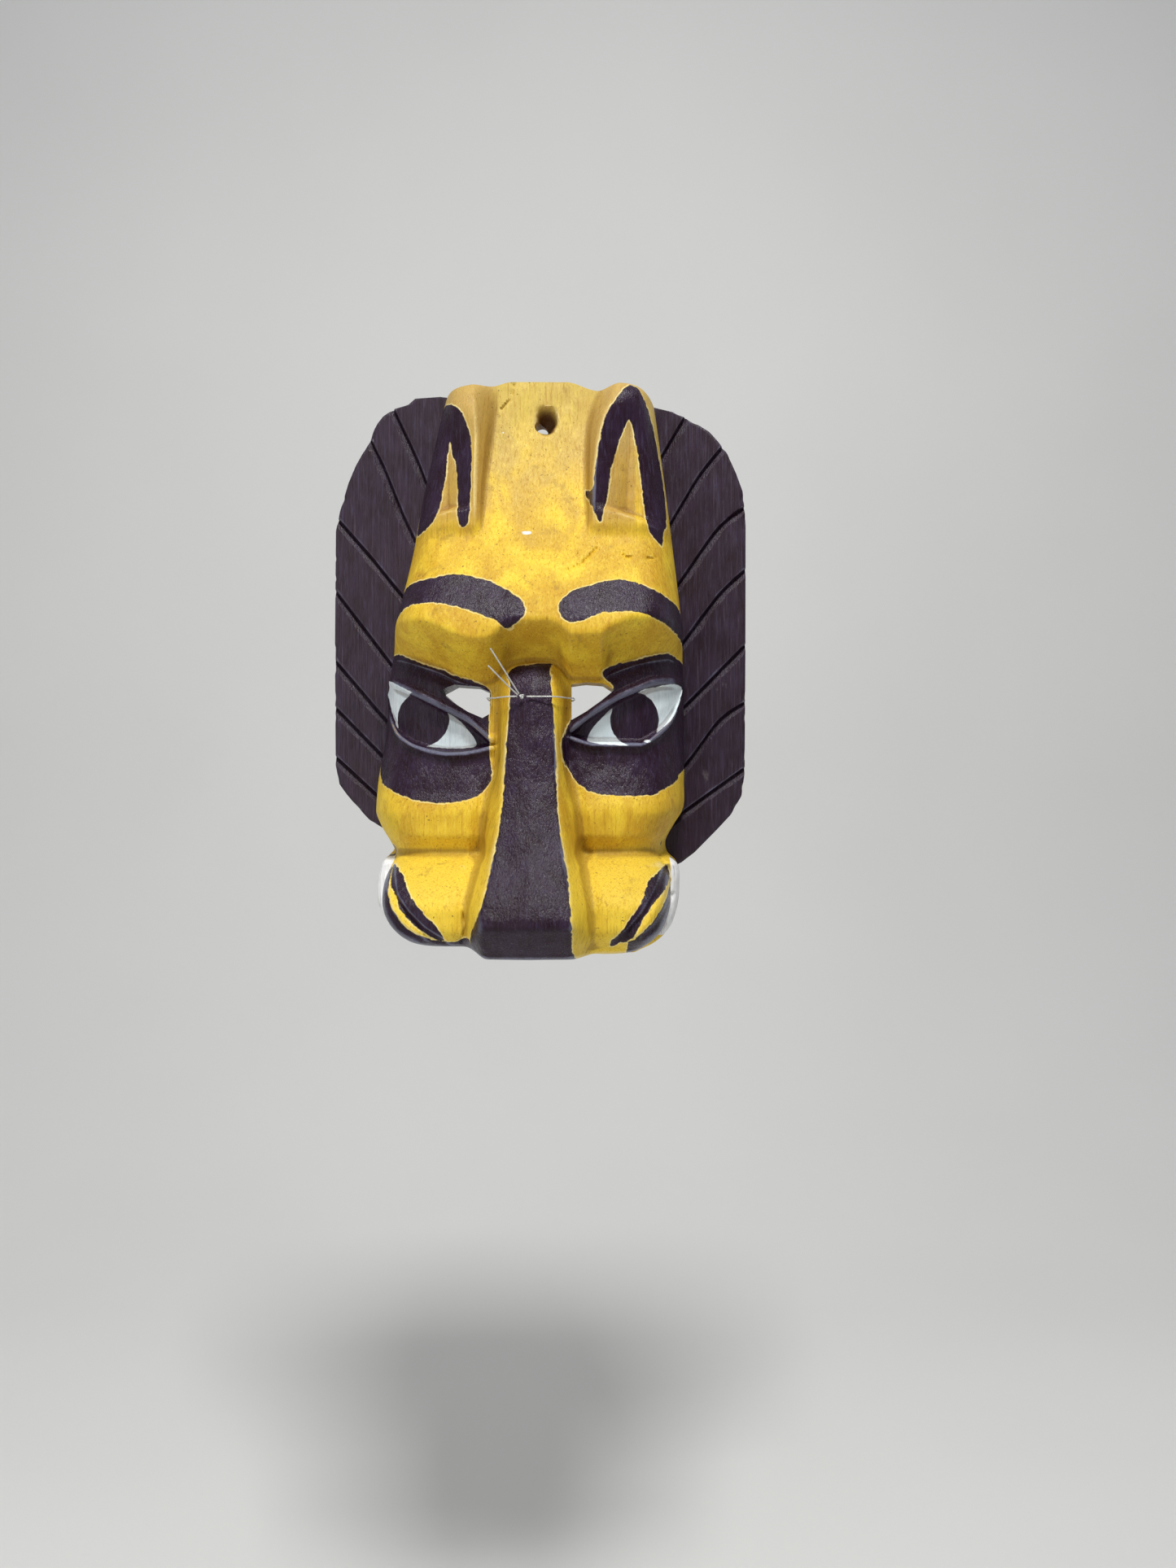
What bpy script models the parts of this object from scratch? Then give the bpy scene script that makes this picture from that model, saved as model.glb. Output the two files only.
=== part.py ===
"""Carved and painted animal mask: face block, two mane boards, their nails, and a nylon tie.

Every length below is in millimetres. A point is written (x, depth, z): x to the
viewer's right, depth out from the wall (which is -Y in the scene), z upward.
The origin is on the axis of the hanging hole, where it meets the wall plane.
"""

import math

import bmesh
import bpy
import numpy as np

MM = 0.001

# ---- driving dimensions ----------------------------------------------------
TOP = 22.0  # top edge of the face block
CHIN = -251.5  # lowest point of the muzzle
LIP_START = -214.0  # height where the muzzle starts to turn under
GAP = 0.3  # clearance between pieces that touch
BOARD = 10.0  # thickness of a mane board
LAP = 10.0  # how far a mane board reaches under the face block
JAW_DEPTH = 60.0  # front of the tooth band round the muzzle
RIM = 21.0  # back rim between the block's edge and the hollow
NOSE_X = -3.0  # centre line of the nose
HOLE_RADIUS = 3.1

# ---- outline and depth of the face block, by height (z, value) --------------
LEFT_EDGE = (
    (22, -47.5), (-29, -59), (-68, -66), (-95, -71.3), (-122, -76.4), (-149, -78.4),
    (-172, -81.5), (-186, -82), (-193, -79.5), (-201, -75), (-206, -73), (-211, -75.3),
    (-222, -77.5), (-233, -75.5), (-241, -69), (-247, -60), (-251, -48),
)
RIGHT_EDGE = (
    (22, 55.5), (-29, 62.3), (-68, 67), (-95, 69.6), (-122, 71), (-149, 71.4),
    (-172, 71.2), (-186, 70.4), (-193, 66.2), (-201, 62), (-206, 61.9), (-211, 66),
    (-222, 67), (-233, 65.5), (-241, 62), (-247, 55.5), (-251, 47),
)
FOREHEAD_DEPTH = ((22, 30), (0, 32), (-30, 41), (-60, 55), (-80, 66), (-95, 74.5), (-105, 78), (-130, 80))
CHEEK_DEPTH = (
    (-100, 52), (-115, 56), (-130, 59), (-150, 58), (-162, 60), (-175, 65), (-188, 70),
    (-196, 70), (-204, 66), (-211, 77), (-220, 89), (-230, 95), (-240, 94), (-246, 86),
)
NOSE_DEPTH = (
    (-112, 58), (-118, 61), (-125, 66), (-150, 75), (-180, 87), (-210, 103),
    (-226, 114), (-233, 117), (-238, 113), (-246, 105),
)
NOSE_ROOF = 2.0  # drop from the nose's crest to the edges of its top
NOSE_TOP_HALF = ((-118, 8), (-150, 10), (-185, 12), (-210, 15), (-228, 18), (-246, 18))
NOSE_FOOT_HALF = ((-118, 17), (-160, 17), (-185, 22), (-210, 25), (-228, 28), (-246, 29))
HOLLOW_DEPTH = (
    (9, 14), (0, 18), (-30, 26), (-60, 38), (-90, 51), (-110, 52), (-128, 44),
    (-150, 46), (-175, 54), (-200, 54), (-215, 64), (-230, 64), (-237, 56),
)

# ---- ears, by height: foot of the inner wall, crest, bottom of the hollow, outer rim ------
EAR_LEFT = {
    "foot": ((22, -19.5), (-10, -23.4), (-32, -25.6), (-52, -26.3)),
    "crest": ((22, -34), (8, -32), (-10, -30.5), (-52, -30.5)),
    "valley": ((10, -45.5), (-5, -43.5), (-52, -43.5)),
    "rim": ((10, -50.5), (-53, -60)),
}
EAR_RIGHT = {
    "foot": ((22, 29.5), (8, 23.4), (-32, 21.4), (-52, 22)),
    "crest": ((22, 40), (8, 35), (0, 31), (-24, 26.8), (-52, 26)),
    "valley": ((10, 44), (-5, 43), (-52, 40)),
    "rim": ((12, 50), (-5, 55), (-35, 60.5), (-55, 60)),
}
EAR_DEPTH = ((22, 33), (17, 42), (8, 46.5), (-10, 49), (-50, 54.5), (-60, 55.5))
EAR_HOLLOW = ((9, 0), (-5, 3.5), (-25, 6), (-45, 8))
EAR_LEDGE = ((-60, -52), (-38, -45.5), (28, -45.5), (56, -53))  # foot of the hollow, by x
FOOT_LINE = ((-60, -246.5), (-48, -247.5), (-33, -248), (-27, -249), (-20, -251.5), (18, -251.5), (47, -251))
TOP_DROP = ((-50, 7), (-44, 5.5), (-32, 4.5), (-25, 3), (-14, 0), (12, 0), (28, 4.5), (39, 3), (47, 4.5), (55, 9))

# ---- eyes, by x: fold under the brow, then the crests of both lids --------------
FOLD = (
    (-76, -111), (-65, -113.5), (-46, -120), (-38, -124), (-28, -127), (-21, -126),
    (-14, -120), (-10, -118.5), (4, -118), (9, -119.5), (16, -125), (28, -125),
    (33, -121), (46, -116), (61, -112.8), (70, -115),
)
LID_LEFT = ((-76, -123), (-61.5, -129.5), (-52, -134), (-44, -138), (-33, -143.5), (-22, -153))
LASH_LEFT = (
    (-76, -129), (-72.5, -140), (-67, -150), (-60, -155.5), (-52, -158.5), (-42, -160.5),
    (-33, -160), (-22, -157.5),
)
LID_RIGHT = (
    (15, -148.5), (24.5, -141), (36, -134), (44.5, -130), (51.5, -127), (58.5, -125.5), (69, -125),
)
LASH_RIGHT = (
    (15, -153), (25.5, -156), (47, -156), (55.5, -151), (61, -145.5), (66.5, -136), (69, -128),
)
EYE_SUNK = 3.2  # eyeball behind the lids
LID_RIDGE = 1.8

# ---- mane outlines (x, z), from the top of the block round to its foot -------
MANE_LEFT = (
    (-52, 21.5), (-64, 21), (-68, 17.5), (-75, 15.5), (-80.5, 11.8), (-85, 6), (-87.5, -1),
    (-94.5, -13.5), (-98, -22), (-102.2, -36), (-104.3, -46), (-104.8, -106),
    (-104.4, -164), (-102.6, -173.5), (-99, -178.5), (-94, -184.5), (-87, -192), (-80, -196),
)
MANE_RIGHT = (
    (55, 16.5), (65.5, 14), (71.5, 11.5), (78, 7.7), (84, 4), (88.5, -1), (93, -7),
    (97.5, -17), (100.8, -26), (102.3, -41), (102.2, -106), (101.8, -168), (100.2, -179.5),
    (94.8, -189), (88.3, -196), (76.5, -208), (70, -213), (60, -218),
)
MANE_LEFT_SPAN = (20, -190)  # top and foot of the hidden edge
MANE_RIGHT_SPAN = (15, -210)
# Centre lines of the V cuts, outer end first.
GROOVES_LEFT = (
    ((-76.5, 18), (-64, -9), (-58, -24)),
    ((-88, 2), (-80, -14.5), (-70.5, -38), (-62, -56)),
    ((-107, -36), (-88.5, -57), (-75, -73.5), (-63, -88)),
    ((-107, -73), (-81.5, -106.5), (-68, -124)),
    ((-107, -108.5), (-85, -134.5), (-70, -151)),
    ((-107, -132.5), (-86.5, -153.5), (-72, -168)),
    ((-107, -157.5), (-88.5, -174.5), (-72, -190)),
)
GROOVES_RIGHT = (
    ((74, 15), (63.5, -2.5), (57, -14)),
    ((92, -2), (79.5, -17.5), (66.5, -39), (58, -54)),
    ((105, -32), (89.5, -43.5), (71.5, -68.5), (60, -84)),
    ((105, -63), (89.5, -77.5), (74, -98), (60, -116)),
    ((105, -100.5), (76.5, -129.5), (60, -146)),
    ((105, -130.5), (89.5, -141), (75.5, -159.5), (60, -178)),
    ((104, -164), (74.5, -185), (60, -196)),
)
GROOVE_DEPTH = 2.6
GROOVE_SHARP = 0.9  # half-width on the steep upper side
GROOVE_BEVEL = 3.2  # half-width on the soft lower side

# ---- through openings of the face block (x, z) --------------------------------
EYE_SLIT_LEFT = (
    (-46, -130.5), (-39, -127.5), (-28, -128.5), (-22.5, -131), (-22.5, -141),
    (-26, -143), (-33, -140), (-40, -135.5),
)
EYE_SLIT_RIGHT = (
    (15, -127.5), (22, -126.5), (30, -127), (35, -130), (29, -135), (22, -140), (15, -144),
)

# ---- nails from behind, and the nylon tie --------------------------------------
NAIL_LENGTH = 20.0
NAIL_RADIUS = 0.9
NAIL_HEAD_RADIUS = 2.0
NAIL_HEAD = 0.9
NAIL_INSET = 5.0  # nail axis from the board's inner edge
NAIL_HEIGHTS = (-18, -92, -166)

LINE_RADIUS = 0.35
KNOT_RADIUS = 1.3
TIE_Z = -134.0  # height of the tie across the nose
KNOT_X = -7.0
# The tie starts right of the knot, passes over the nose, through the right eye slit,
# behind the bridge, out of the left slit and back to the knot.
TIE_ROUTE = (
    (KNOT_X + 2.1, 71.3, TIE_Z), (4.5, 71.3, TIE_Z), (6.8, 70.9, TIE_Z), (9.0, 69.0, TIE_Z),
    (11.4, 65.2, TIE_Z), (13.4, 61.8, TIE_Z), (15.2, 60.4, TIE_Z), (16.2, 58.5, TIE_Z),
    (16.4, 46.0, TIE_Z), (15.2, 43.0, TIE_Z), (12.5, 42.4, TIE_Z), (4.0, 42.2, TIE_Z),
    (-10.0, 42.2, TIE_Z), (-19.5, 42.2, TIE_Z), (-22.7, 43.2, TIE_Z), (-24.0, 46.0, TIE_Z),
    (-23.8, 58.5, TIE_Z), (-22.6, 60.4, TIE_Z), (-20.2, 61.6, TIE_Z), (-17.8, 64.8, TIE_Z),
    (-15.2, 68.8, TIE_Z), (-13.0, 70.9, TIE_Z), (KNOT_X - 2.1, 71.3, TIE_Z),
)
KNOT_AT = (KNOT_X, 71.8, TIE_Z)
TAIL_LONG = ((-8.3, 73.2, -132.8), (-11.0, 76.5, -128.5), (-15.0, 81.0, -122.0), (-20.0, 85.5, -114.0))
TAIL_SHORT = ((-8.9, 72.2, -133.3), (-12.5, 75.0, -130.0), (-17.0, 78.5, -125.5), (-21.5, 80.5, -121.0))

# ---- grid of the face block ------------------------------------------------------
# Columns between the left edge, four guide lines and the right edge, and rows between heights.
COLUMNS = (13, 3, 5, 3, 13)
ROWS = ((22, 10, 4), (10, -42, 9), (-42, -60, 7), (-60, -92, 6), (-92, -164, 34), (-164, -196, 7), (-196, -244, 15), (-244, -251.5, 6))
GUIDES = (
    ((22, -35), (-52, -30.5), (-80, -26), (-118, -20), (-160, -20), (-210, -28), (-246, -32)),
    ((22, -19.5), (-52, -26), (-80, -16), (-118, -11), (-150, -13), (-210, -18), (-246, -21)),
    ((22, 29.5), (-52, 22), (-80, 12), (-118, 5), (-150, 7), (-210, 12), (-246, 15)),
    ((22, 40), (-52, 27), (-80, 20), (-118, 14), (-160, 14), (-210, 22), (-246, 26)),
)


def along(stations, at):
    """Smooth curve through (position, value) stations, held level past both ends."""
    points = np.array(sorted(stations), float)
    place, value = points[:, 0], points[:, 1]
    step = np.diff(place)
    rise = np.diff(value) / step
    slope = np.concatenate(([rise[0]], (rise[1:] + rise[:-1]) / 2, [rise[-1]]))
    slope[1:-1][rise[1:] * rise[:-1] <= 0] = 0
    at = np.clip(np.asarray(at, float), place[0], place[-1])
    i = np.clip(np.searchsorted(place, at, side="right") - 1, 0, len(step) - 1)
    t = (at - place[i]) / step[i]
    start = (1 + 2 * t) * (1 - t) ** 2 * value[i] + t * (1 - t) ** 2 * step[i] * slope[i]
    end = t * t * (3 - 2 * t) * value[i + 1] + t * t * (t - 1) * step[i] * slope[i + 1]
    return start + end


def fade(value, low, high):
    """0 at low, 1 at high, smooth between; high may be below low."""
    t = np.clip((value - low) / (high - low), 0, 1)
    return t * t * (3 - 2 * t)


def bell(value, reach):
    """Smooth bump of height 1 at 0 that ends at reach on both sides."""
    t = np.clip(np.abs(value) / reach, 0, 1)
    return (1 - t * t) ** 2


def shoulder(x, left, right, power):
    """1 over the middle of the block, falling steeply to 0 at both edges."""
    across = np.clip((2 * x - left - right) / (right - left), -1, 1)
    return np.sqrt(1 - np.abs(across) ** power)


def ear(x, z, lines, base):
    """Ear that stands on the forehead: an inner wall, a crest and a hollow outer face."""
    foot, crest, valley, rim = (along(lines[name], z) for name in ("foot", "crest", "valley", "rim"))
    inner = (x - valley) / (crest - valley)
    outer = (x - valley) / (rim - valley)
    hollow = np.clip(1 - np.maximum(inner, outer), 0, 1) * along(EAR_HOLLOW, z)
    hollow = hollow * fade(z - along(EAR_LEDGE, x), -1, 4)
    height = along(EAR_DEPTH, z) - hollow - base
    return fade(x, foot, crest) * height * fade(z, -60, -52)


def eye_relief(x, z, lid, lash):
    """Raised lid rims round a sunken almond eye."""
    inside = np.minimum(lid - z, z - lash)
    return LID_RIDGE * bell(inside, 4) - EYE_SUNK * fade(inside, 0.8, 2.6) + fade(inside, 2, 14)


def front_depth(x, z):
    """Depth of the carved front before its edges are rounded off."""
    out = np.abs(x - NOSE_X)
    cheek = along(CHEEK_DEPTH, z)
    cheek = cheek - 6 * bell(z + 140, 34) * np.clip((out - 45) / 30, 0, 1) ** 2
    cheek = cheek + np.where(
        x < NOSE_X,
        eye_relief(x, z, along(LID_LEFT, x), along(LASH_LEFT, x)),
        eye_relief(x, z, along(LID_RIGHT, x), along(LASH_RIGHT, x)),
    ) * fade(out, 15, 20)
    above_fold = z - along(FOLD, x)
    under_brow = fade(above_fold, 0, 20 - 5 * fade(out, 45, 68))
    base = cheek + under_brow * (along(FOREHEAD_DEPTH, z) - cheek)
    base = base - 1.2 * bell(above_fold, 3)
    top, foot = along(NOSE_TOP_HALF, z), along(NOSE_FOOT_HALF, z)
    bridge = along(NOSE_DEPTH, z) - NOSE_ROOF * np.abs(x - NOSE_X - 1) / top
    nose = fade(out, foot, top) * fade(above_fold, 3, -2)
    base = base + nose * np.maximum(bridge - base, 0)
    base = base - 1.5 * bell(out - foot, 5) * fade(z, -150, -190)
    return base + np.where(x < 3, ear(x, z, EAR_LEFT, base), ear(x, z, EAR_RIGHT, base))


def muzzle_depth(x, z):
    """Depth of the face and of the muzzle, which turns under at its foot."""
    left, right = along(LEFT_EDGE, z), along(RIGHT_EDGE, z)
    at_muzzle = fade(z, -204, -212)
    inset = 3.5 * at_muzzle
    full = front_depth(x, z) * shoulder(x, left + inset, right - inset, 8 + 7 * at_muzzle)
    under = np.clip((LIP_START - z) / (LIP_START - along(FOOT_LINE, x)), 0, 1)
    return full * np.sqrt(1 - under**30)


def jaw_depth(x, z):
    """Depth of the jaw shelf that carries the teeth round the muzzle."""
    left, right = along(LEFT_EDGE, z), along(RIGHT_EDGE, z)
    return JAW_DEPTH * shoulder(x, left, right, 60) * fade(z, -200, -210)


def carved_depth(x, z):
    """Depth of the finished front."""
    return np.maximum(muzzle_depth(x, z), jaw_depth(x, z))


def hollow_depth(x, z):
    """Depth of the hollow behind the face."""
    left, right = along(LEFT_EDGE, z) + RIM, along(RIGHT_EDGE, z) - RIM
    return along(HOLLOW_DEPTH, z) * shoulder(x, left, right, 4)


def new_object(name, data):
    """Object of that name in the scene."""
    body = bpy.data.objects.new(name, data)
    bpy.context.scene.collection.objects.link(body)
    return body


def finish_mesh(name, bm, smooth_angle=None):
    """Turns a bmesh in millimetres into an object in metres, shaded smooth if asked."""
    bmesh.ops.recalc_face_normals(bm, faces=bm.faces)
    bmesh.ops.scale(bm, vec=(MM, MM, MM), verts=bm.verts)
    mesh = bpy.data.meshes.new(name)
    bm.to_mesh(mesh)
    bm.free()
    if smooth_angle is not None:
        mesh.shade_smooth()
        mesh.set_sharp_from_angle(angle=math.radians(smooth_angle))
    return new_object(name, mesh)


def relief_solid(name, lines, heights, depth, back, drop=None, smooth_angle=None):
    """Closed solid with a flat back, its front given by depth(x, z) on columns that follow lines.

    lines(z) gives the x of every column at a height, from the left edge to the right,
    and drop(x, z) how far a point lies below its row.
    """
    bm = bmesh.new()
    grid = []
    for z in (heights[0], *heights, heights[-1]):
        x = lines(z)
        height = np.full_like(x, z)
        height = height - (drop(x, height) if drop else 0)
        out = depth(x, height)
        out[0] = out[-1] = back
        if len(grid) in (0, len(heights) + 1):
            out[:] = back
        grid.append([(a, -d, h) for a, d, h in zip(x, out, height)])
    grid = [[bm.verts.new(point) for point in row] for row in grid]
    for upper, lower in zip(grid[:-1], grid[1:]):
        for i in range(len(upper) - 1):
            bm.faces.new((upper[i], upper[i + 1], lower[i + 1], lower[i]))
    left, right = [row[0] for row in grid[1:-1]], [row[-1] for row in grid[1:-1]]
    bm.faces.new([*left, *grid[-1], *reversed(right), *reversed(grid[0])])
    bmesh.ops.remove_doubles(bm, verts=bm.verts, dist=1e-4)
    return finish_mesh(name, bm, smooth_angle)


def edge_drop(x, z):
    """How far the top of the block slopes down over the ears, less how far its foot rises."""
    foot_rise = along(FOOT_LINE, x) - CHIN
    under = np.clip((LIP_START - z) / (LIP_START - CHIN), 0, 1)
    return along(TOP_DROP, x) * np.clip(z / TOP, 0, 1) - foot_rise * under


def face_columns(z):
    """Columns of the face block: they crowd at both edges and follow the four guide lines."""
    stops = [float(along(line, z)) for line in (LEFT_EDGE, *GUIDES, RIGHT_EDGE)]
    columns = [np.array(stops[:1])]
    for i, count in enumerate(COLUMNS):
        share = np.linspace(0, 1, count + 1)[1:]
        if i == 0:
            share = 0.35 * share + 0.65 * share**1.7
        if i == len(COLUMNS) - 1:
            share = 0.35 * share + 0.65 * (1 - (1 - share) ** 1.7)
        columns.append(stops[i] + (stops[i + 1] - stops[i]) * share)
    return np.concatenate(columns)


def face_rows():
    """Heights of the rows of the face block, close together where the eyes are."""
    rows = [np.linspace(high, low, count, endpoint=False) for high, low, count in ROWS]
    return np.concatenate((*rows, [CHIN]))


def hollow_columns(z):
    """Columns of the hollow's cutter."""
    share = np.linspace(0, math.pi, 17)
    left, right = float(along(LEFT_EDGE, z)) + RIM, float(along(RIGHT_EDGE, z)) - RIM
    return left + (right - left) * (1 - np.cos(share)) / 2


def prism(name, outline, start, end):
    """Flat plate with that (x, z) outline, from depth start to depth end."""
    bm = bmesh.new()
    near = [bm.verts.new((x, -start, z)) for x, z in outline]
    far = [bm.verts.new((x, -end, z)) for x, z in outline]
    bm.faces.new(near)
    bm.faces.new(far)
    for i in range(len(outline)):
        j = (i + 1) % len(outline)
        bm.faces.new((near[i], near[j], far[j], far[i]))
    return finish_mesh(name, bm)


def skin(name, rings, smooth_angle=None):
    """Closed solid through rings of points, each with the same count, capped at both ends."""
    bm = bmesh.new()
    made = [[bm.verts.new((x, -depth, z)) for x, depth, z in ring] for ring in rings]
    for low, high in zip(made[:-1], made[1:]):
        for i in range(len(low)):
            j = (i + 1) % len(low)
            bm.faces.new((low[i], low[j], high[j], high[i]))
    bm.faces.new(made[0])
    bm.faces.new(made[-1])
    return finish_mesh(name, bm, smooth_angle)


def round_bar(name, sections, centre, sides=16):
    """Bar along the depth axis through (depth, radius) sections."""
    turns = [2 * math.pi * i / sides for i in range(sides)]
    x, z = centre
    return skin(
        name,
        [[(x + r * math.cos(a), depth, z + r * math.sin(a)) for a in turns] for depth, r in sections],
        smooth_angle=40,
    )


def ball(name, centre, radius, squash=0.8, sides=12):
    """Small knot: a ball that is flattened toward the wall."""
    rings = []
    for i in range(1, sides // 2):
        turn = math.pi * i / (sides // 2)
        depth = centre[1] - radius * squash * math.cos(turn)
        rings.append([
            (
                centre[0] + radius * math.sin(turn) * math.cos(2 * math.pi * j / sides),
                depth,
                centre[2] + radius * math.sin(turn) * math.sin(2 * math.pi * j / sides),
            )
            for j in range(sides)
        ])
    return skin(name, rings, smooth_angle=60)


def v_cut(name, line):
    """Cutter of a V cut along a line, steep above and bevelled below."""
    points = [np.array(p, float) for p in line]
    open_at = BOARD + GROOVE_DEPTH  # the V is drawn as far above the face as it goes below it
    rings = []
    for i, point in enumerate(points):
        ahead = points[min(i + 1, len(points) - 1)] - points[max(i - 1, 0)]
        ahead = ahead / np.linalg.norm(ahead)
        up = np.array((-ahead[1], ahead[0]))
        up = up if up[1] > 0 else -up
        above = point + up * 2 * GROOVE_SHARP
        below = point - up * 2 * GROOVE_BEVEL
        rings.append([
            (point[0], BOARD - GROOVE_DEPTH, point[1]),
            (above[0], open_at, above[1]),
            (below[0], open_at, below[1]),
        ])
    return skin(name, rings)


def cut(body, cutters):
    """Takes the cutters out of the body, one Boolean each, and removes them."""
    for cutter in cutters:
        tool = body.modifiers.new(cutter.name, "BOOLEAN")
        tool.operation = "DIFFERENCE"
        tool.solver = "EXACT"
        tool.object = cutter
    depsgraph = bpy.context.evaluated_depsgraph_get()
    body.data = bpy.data.meshes.new_from_object(body.evaluated_get(depsgraph))
    body.modifiers.clear()
    for cutter in cutters:
        bpy.data.objects.remove(cutter)


def tube(name, route, radius):
    """Cord along a route of (x, depth, z) points, with closed ends."""
    curve = bpy.data.curves.new(name, "CURVE")
    curve.dimensions = "3D"
    curve.bevel_depth = radius * MM
    curve.bevel_resolution = 2
    curve.use_fill_caps = True
    spline = curve.splines.new("POLY")
    spline.points.add(len(route) - 1)
    for point, (x, depth, z) in zip(spline.points, route):
        point.co = (x * MM, -depth * MM, z * MM, 1)
    return new_object(name, curve)


def paint(body, colour, roughness, metallic=0.0):
    """Gives the object its own Principled material."""
    material = bpy.data.materials.new(body.name + "_finish")
    material.use_nodes = True
    shader = material.node_tree.nodes["Principled BSDF"]
    shader.inputs["Base Color"].default_value = (*colour, 1)
    shader.inputs["Roughness"].default_value = roughness
    shader.inputs["Metallic"].default_value = metallic
    body.data.materials.clear()
    body.data.materials.append(material)


def inner_edge(edge, side, span):
    """Points of a mane board's hidden edge, lapped under the face block."""
    heights = np.linspace(*span, 9)
    return [(float(along(edge, z)) - side * LAP, float(z)) for z in heights]


def grown(outline, by):
    """Outline moved outward by a small clearance."""
    points = [np.array(p, float) for p in outline]
    following = points[1:] + points[:1]
    area = sum(a[0] * b[1] - b[0] * a[1] for a, b in zip(points, following))
    result = []
    for i, point in enumerate(points):
        edges = (point - points[i - 1], following[i] - point)
        normals = [np.array((e[1], -e[0])) / np.linalg.norm(e) * np.sign(area) for e in edges]
        middle = normals[0] + normals[1]
        result.append(tuple(point + middle * by / np.dot(middle, normals[0])))
    return result


def nail_sections(grow=0.0):
    """Depths and radii of a flat-headed nail from its head to its point."""
    return (
        (0.4 - grow, NAIL_HEAD_RADIUS + grow),
        (0.4 + NAIL_HEAD + grow, NAIL_HEAD_RADIUS + grow),
        (0.5 + NAIL_HEAD + grow, NAIL_RADIUS + grow),
        (NAIL_LENGTH - 3 + grow, NAIL_RADIUS + grow),
        (NAIL_LENGTH + grow, 0.3 + grow),
    )


def nail_places(edge, side):
    """Centres (x, z) of the nails along one mane board's hidden edge."""
    return [(float(along(edge, z)) - side * (LAP - NAIL_INSET), z) for z in NAIL_HEIGHTS]


def mane_board(name, outline, grooves, places):
    """Mane board with its V cuts and nail holes."""
    board = prism(name, outline, 0, BOARD)
    cutters = [v_cut(f"{name}_cut_{i}", line) for i, line in enumerate(grooves)]
    cutters += [nail_hole(f"{name}_hole_{i}", place) for i, place in enumerate(places)]
    cut(board, cutters)
    return board


def nail_hole(name, place):
    """Cutter that clears a nail, open at the back."""
    head, *rest = nail_sections(GAP)
    return round_bar(name, ((-3.0, head[1]), *rest), place)


for old in list(bpy.data.objects):
    bpy.data.objects.remove(old)

# ---- the carved pieces ----------------------------------------------------------
left_outline = [*MANE_LEFT, *reversed(inner_edge(LEFT_EDGE, -1, MANE_LEFT_SPAN))]
right_outline = [*MANE_RIGHT, *reversed(inner_edge(RIGHT_EDGE, 1, MANE_RIGHT_SPAN))]
left_nails = nail_places(LEFT_EDGE, -1)
right_nails = nail_places(RIGHT_EDGE, 1)

face = relief_solid("face_block", face_columns, face_rows(), carved_depth, 0.0, edge_drop, 50)
cut(face, [
    relief_solid("hollow", hollow_columns, np.linspace(9, -237, 27), hollow_depth, -5.0),
    prism("slit_left", EYE_SLIT_LEFT, 15, 90),
    prism("slit_right", EYE_SLIT_RIGHT, 15, 90),
    round_bar("hole", ((-5, HOLE_RADIUS), (60, HOLE_RADIUS)), (0, 0)),
    round_bar("recess", ((25, 3.6), (34, 6.2), (60, 7.0)), (2.2, 2.0)),
    prism("rebate_left", grown(left_outline, GAP), -5, BOARD + GAP),
    prism("rebate_right", grown(right_outline, GAP), -5, BOARD + GAP),
    *[nail_hole(f"block_hole_{i}", place) for i, place in enumerate(left_nails + right_nails)],
])
paint(face, (0.80, 0.50, 0.06), 0.55)

mane_left = mane_board("mane_left", left_outline, GROOVES_LEFT, left_nails)
mane_right = mane_board("mane_right", right_outline, GROOVES_RIGHT, right_nails)
paint(mane_left, (0.05, 0.028, 0.045), 0.5)
paint(mane_right, (0.052, 0.03, 0.048), 0.5)

# ---- nails driven from behind through each board into the block ----------------
for side, places in (("left", left_nails), ("right", right_nails)):
    for level, place in zip(("top", "middle", "foot"), places):
        nail = round_bar(f"nail_{side}_{level}", nail_sections(), place)
        paint(nail, (0.42, 0.40, 0.38), 0.45, 1.0)

# ---- nylon tie round the bridge of the nose ------------------------------------
for name, route in (("tie_loop", TIE_ROUTE), ("tie_tail_long", TAIL_LONG), ("tie_tail_short", TAIL_SHORT)):
    paint(tube(name, route, LINE_RADIUS), (0.78, 0.78, 0.74), 0.3)
paint(ball("tie_knot", KNOT_AT, KNOT_RADIUS), (0.88, 0.88, 0.86), 0.35)
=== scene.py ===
"""Looks of the carved wooden mask: fine carving, paint, worn edges with painted highlights, painted shade
in the creases, nails and the nylon tie.

Lengths below are in millimetres, as (x, depth, z): x to the viewer's right, depth out
from the wall (-Y in the scene), z upward from the hanging hole. MM turns them to metres.
"""

import math

import bmesh
import bpy
import numpy as np
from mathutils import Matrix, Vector


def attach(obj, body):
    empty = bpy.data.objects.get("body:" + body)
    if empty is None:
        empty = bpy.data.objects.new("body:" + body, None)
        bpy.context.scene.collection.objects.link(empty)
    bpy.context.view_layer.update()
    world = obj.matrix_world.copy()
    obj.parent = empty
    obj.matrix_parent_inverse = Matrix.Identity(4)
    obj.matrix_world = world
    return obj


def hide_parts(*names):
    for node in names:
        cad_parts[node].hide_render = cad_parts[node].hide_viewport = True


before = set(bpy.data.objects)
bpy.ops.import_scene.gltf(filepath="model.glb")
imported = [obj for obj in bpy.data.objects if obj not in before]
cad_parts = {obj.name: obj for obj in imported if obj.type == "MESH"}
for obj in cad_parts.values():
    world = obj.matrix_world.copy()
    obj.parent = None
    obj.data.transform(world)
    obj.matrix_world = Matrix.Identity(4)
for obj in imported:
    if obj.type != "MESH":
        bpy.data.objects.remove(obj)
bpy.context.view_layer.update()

MM = 0.001
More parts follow.
